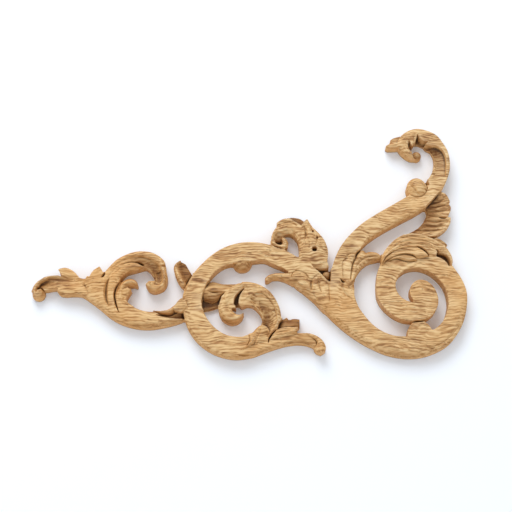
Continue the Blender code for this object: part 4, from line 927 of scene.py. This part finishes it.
def oak():
    bench = Bench("oak")
    look = oakLook
    place = bench.node("ShaderNodeTexCoord", {}, {}, "Object")

    def grained(source, name, detail=2.0, roughness=0.5):
        # Noise that is stretched along X
        along, across = look[name]
        stretched = bench.node("ShaderNodeVectorMath", {"operation": "MULTIPLY"},
                               {0: source, 1: (along, across, across)})
        return bench.noise(stretched, 1.0, detail, roughness)

    # The grain runs along X and wanders slowly up and down
    lift = ((grained(place, "drift") - 0.5) * look["driftHeight"]
            + (grained(place, "ripple", 1.0) - 0.5) * look["rippleHeight"])
    sway = bench.node("ShaderNodeCombineXYZ", {}, {"X": 0.0, "Y": lift, "Z": lift})
    grain = bench.node("ShaderNodeVectorMath", {"operation": "ADD"}, {0: place, 1: sway})

    rings = grained(grain, "rings")
    streaks = grained(grain, "streaks", 2.0, 0.55)
    fibre = grained(grain, "fibre", 1.0)
    # Even wavy lines, where the blade crossed the growth rings
    phase = (bench.axis(grain, "Z") * (2.0 * math.pi / look["lineSpacing"])
             + grained(place, "wander") * look["lineWander"])
    lines = bench.node("ShaderNodeMath", {"operation": "SINE"}, {0: phase})
    share = look["tone"]
    tone = (rings * share["rings"] + streaks * share["streaks"] + fibre * share["fibre"]
            + lines * share["lines"] + share["rest"])
    stops = [(level, look[name]) for level, name in look["stops"]]
    colour = bench.node("ShaderNodeValToRGB", {"stops": stops}, {"Fac": tone})

    # Patches of warmer wood
    warm = bench.spread(bench.noise(place, look["patch"]), *look["patchRange"])
    colour = bench.blend(warm, colour, look["russet"])

    # Pores: short dark dashes along the grain
    pores = (bench.spread(grained(grain, "pores", 1.0), *look["poreRange"])
             * bench.spread(rings, *look["poreRings"]))
    colour = bench.blend(pores * look["poreShare"], colour, look["pore"])

    # Painted bounce light: sides and steep slopes are painted warmer and duller, for the light the pale wall
    # and floor throw back
    facing = bench.axis(bench.node("ShaderNodeNewGeometry", {}, {}, "Normal"), "Y")
    colour = bench.blend(bench.spread(facing, *look["sideBounceRange"]), colour, look["russet"])
    # Painted shade: the deeper the carving, the darker it is painted, for the shade that falls in the
    # recesses
    height = bench.axis(place, "Y")
    deep = bench.spread(height, *look["deepRange"]) * bench.spread(facing, *look["frontRange"])
    colour = bench.blend(deep, colour, look["deep"], "MULTIPLY")
    # Painted contact shadow: a dark line along the foot of every side, where it meets the wall behind
    foot = bench.spread(height, *look["footShadeRange"]) * bench.spread(facing, *look["uprightRange"])
    colour = bench.blend(foot, colour, look["paintedShade"])
    # Darker and warmer towards the left end
    left = bench.spread(bench.axis(place, "X"), *look["leftRange"])
    colour = bench.blend(left, colour, look["left"], "MULTIPLY")

    # Painted shade in the crevices, and a painted highlight on the crests
    hollow = bench.node("ShaderNodeAttribute", {"attribute_name": "hollow"}, {}, "Fac")
    colour = bench.blend(bench.spread(hollow, *look["creviceShadeRange"]), colour, look["paintedShade"])
    colour = bench.blend(bench.spread(hollow, *look["crestHighlightRange"]), colour, look["rim"])

    bench.plug(bench.shader.inputs["Base Color"], colour)
    roughness = bench.spread(tone, *look["roughness"]) + pores * look["poreRoughness"]
    bench.plug(bench.shader.inputs["Roughness"], roughness)
    relief = fibre * look["fibreRelief"] - pores * look["poreRelief"]
    bump = bench.node("ShaderNodeBump", {}, {"Strength": look["bump"], "Distance": look["bumpHeight"],
                                             "Height": relief})
    bench.plug(bench.shader.inputs["Normal"], bump)
    bench.shader.inputs["Specular IOR Level"].default_value = look["specular"]
    return bench.material


def makeOnlay():
    relief = carveOnlay(onlay["pitch"])
    easeEdges(relief)
    hollow = hollowness(relief)
    piece = bpy.data.objects.new("carved_oak_onlay", solidMesh("carved_oak_onlay", relief))
    bpy.context.scene.collection.objects.link(piece)
    thinOut(piece)
    mesh = piece.data
    places = np.empty(3 * len(mesh.vertices))
    mesh.vertices.foreach_get("co", places)
    x, y, z = places.reshape(-1, 3).T
    # the mask of the painted crevice shade and crest highlight, left off the back
    values = np.where(y < onlay["backDepth"], gridValue(relief, hollow, x, z), 0.0)
    mesh.attributes.new("hollow", "FLOAT", "POINT").data.foreach_set("value", values.astype(np.float32))
    mesh.shade_smooth()
    mesh.set_sharp_from_angle(angle=math.radians(onlay["sharpAngle"]))
    mesh.materials.append(oak())
    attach(piece, "root")
    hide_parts("scroll_onlay")
    print("onlay carved,", len(mesh.polygons), "faces")


stageLook = {
    "wallGap": 0.0006, "clearReach": 0.0025, "wallSize": 9.0, "floorHeight": -0.85,
    "wall": (0.87, 0.92, 0.985), "floor": (0.90, 0.90, 0.90), "roughness": 0.9, "specular": 0.1,
}


def plane(name, corners, oneSided=False):
    mesh = bpy.data.meshes.new(name)
    mesh.from_pydata(corners, [], [(0, 1, 2, 3)])
    bench = Bench(name)
    bench.shader.inputs["Base Color"].default_value = (*stageLook[name], 1.0)
    bench.shader.inputs["Roughness"].default_value = stageLook["roughness"]
    bench.shader.inputs["Specular IOR Level"].default_value = stageLook["specular"]
    if oneSided:    # clear from behind, and to light that leaves the onlay's back right in front of it
        behind = bench.node("ShaderNodeNewGeometry", {}, {}, "Backfacing")
        length = bench.node("ShaderNodeLightPath", {}, {}, "Ray Length")
        far = bench.node("ShaderNodeMath", {"operation": "GREATER_THAN"},
                         {0: length, 1: stageLook["clearReach"]})
        bench.plug(bench.shader.inputs["Alpha"], (1.0 - behind) * far)
    mesh.materials.append(bench.material)
    item = bpy.data.objects.new(name, mesh)
    bpy.context.scene.collection.objects.link(item)


def makeStage():
    half, back, low = stageLook["wallSize"] / 2, stageLook["wallGap"], stageLook["floorHeight"]
    top = low + half
    plane("wall", [(-half, back, low), (half, back, low), (half, back, top), (-half, back, top)],
          oneSided=True)
    plane("floor", [(-half, -half, low), (half, -half, low), (half, half, low), (-half, half, low)])
    print("wall and floor made")


def aim(item, place, target):
    # Stands a light or the camera in its place, turned to what it points at
    item.location = place
    item.rotation_euler = (Vector(target) - Vector(place)).to_track_quat("-Z", "Y").to_euler()
    bpy.context.scene.collection.objects.link(item)


# Light name: where it stands, what it points at, its size and its power
lightRig = {
    "key": ((-0.50, -1.42, 1.40), (-0.04, 0.0, 0.05), 1.4, 24.0),
    "fill": ((0.0, -1.05, -1.35), (-0.05, 0.0, 0.0), 1.0, 24.0),
}
skyLight = 0.76


def makeLights():
    for name, (place, target, size, power) in lightRig.items():
        data = bpy.data.lights.new(name, "AREA")
        data.shape = "DISK"
        data.size = size
        data.energy = power
        aim(bpy.data.objects.new(name, data), place, target)
    world = bpy.data.worlds.new("studio")
    world.use_nodes = True
    sky = world.node_tree.nodes["Background"]
    sky.inputs["Color"].default_value = (1.0, 1.0, 1.0, 1.0)
    sky.inputs["Strength"].default_value = skyLight
    bpy.context.scene.world = world
    print("lights placed")


viewpoint = {
    "place": (-0.084129, -1.259196, -0.334544), "target": (-0.084129, -0.016, 0.045539),
    "lens": 91.4, "sensor": 36.0,
}


def makeCamera():
    data = bpy.data.cameras.new("camera")
    data.lens = viewpoint["lens"]
    data.sensor_width = viewpoint["sensor"]
    camera = bpy.data.objects.new("camera", data)
    aim(camera, viewpoint["place"], viewpoint["target"])
    bpy.context.scene.camera = camera
    bpy.context.scene.view_settings.view_transform = "Standard"
    print("camera placed")


makeCamera()
makeOnlay()
makeStage()
makeLights()
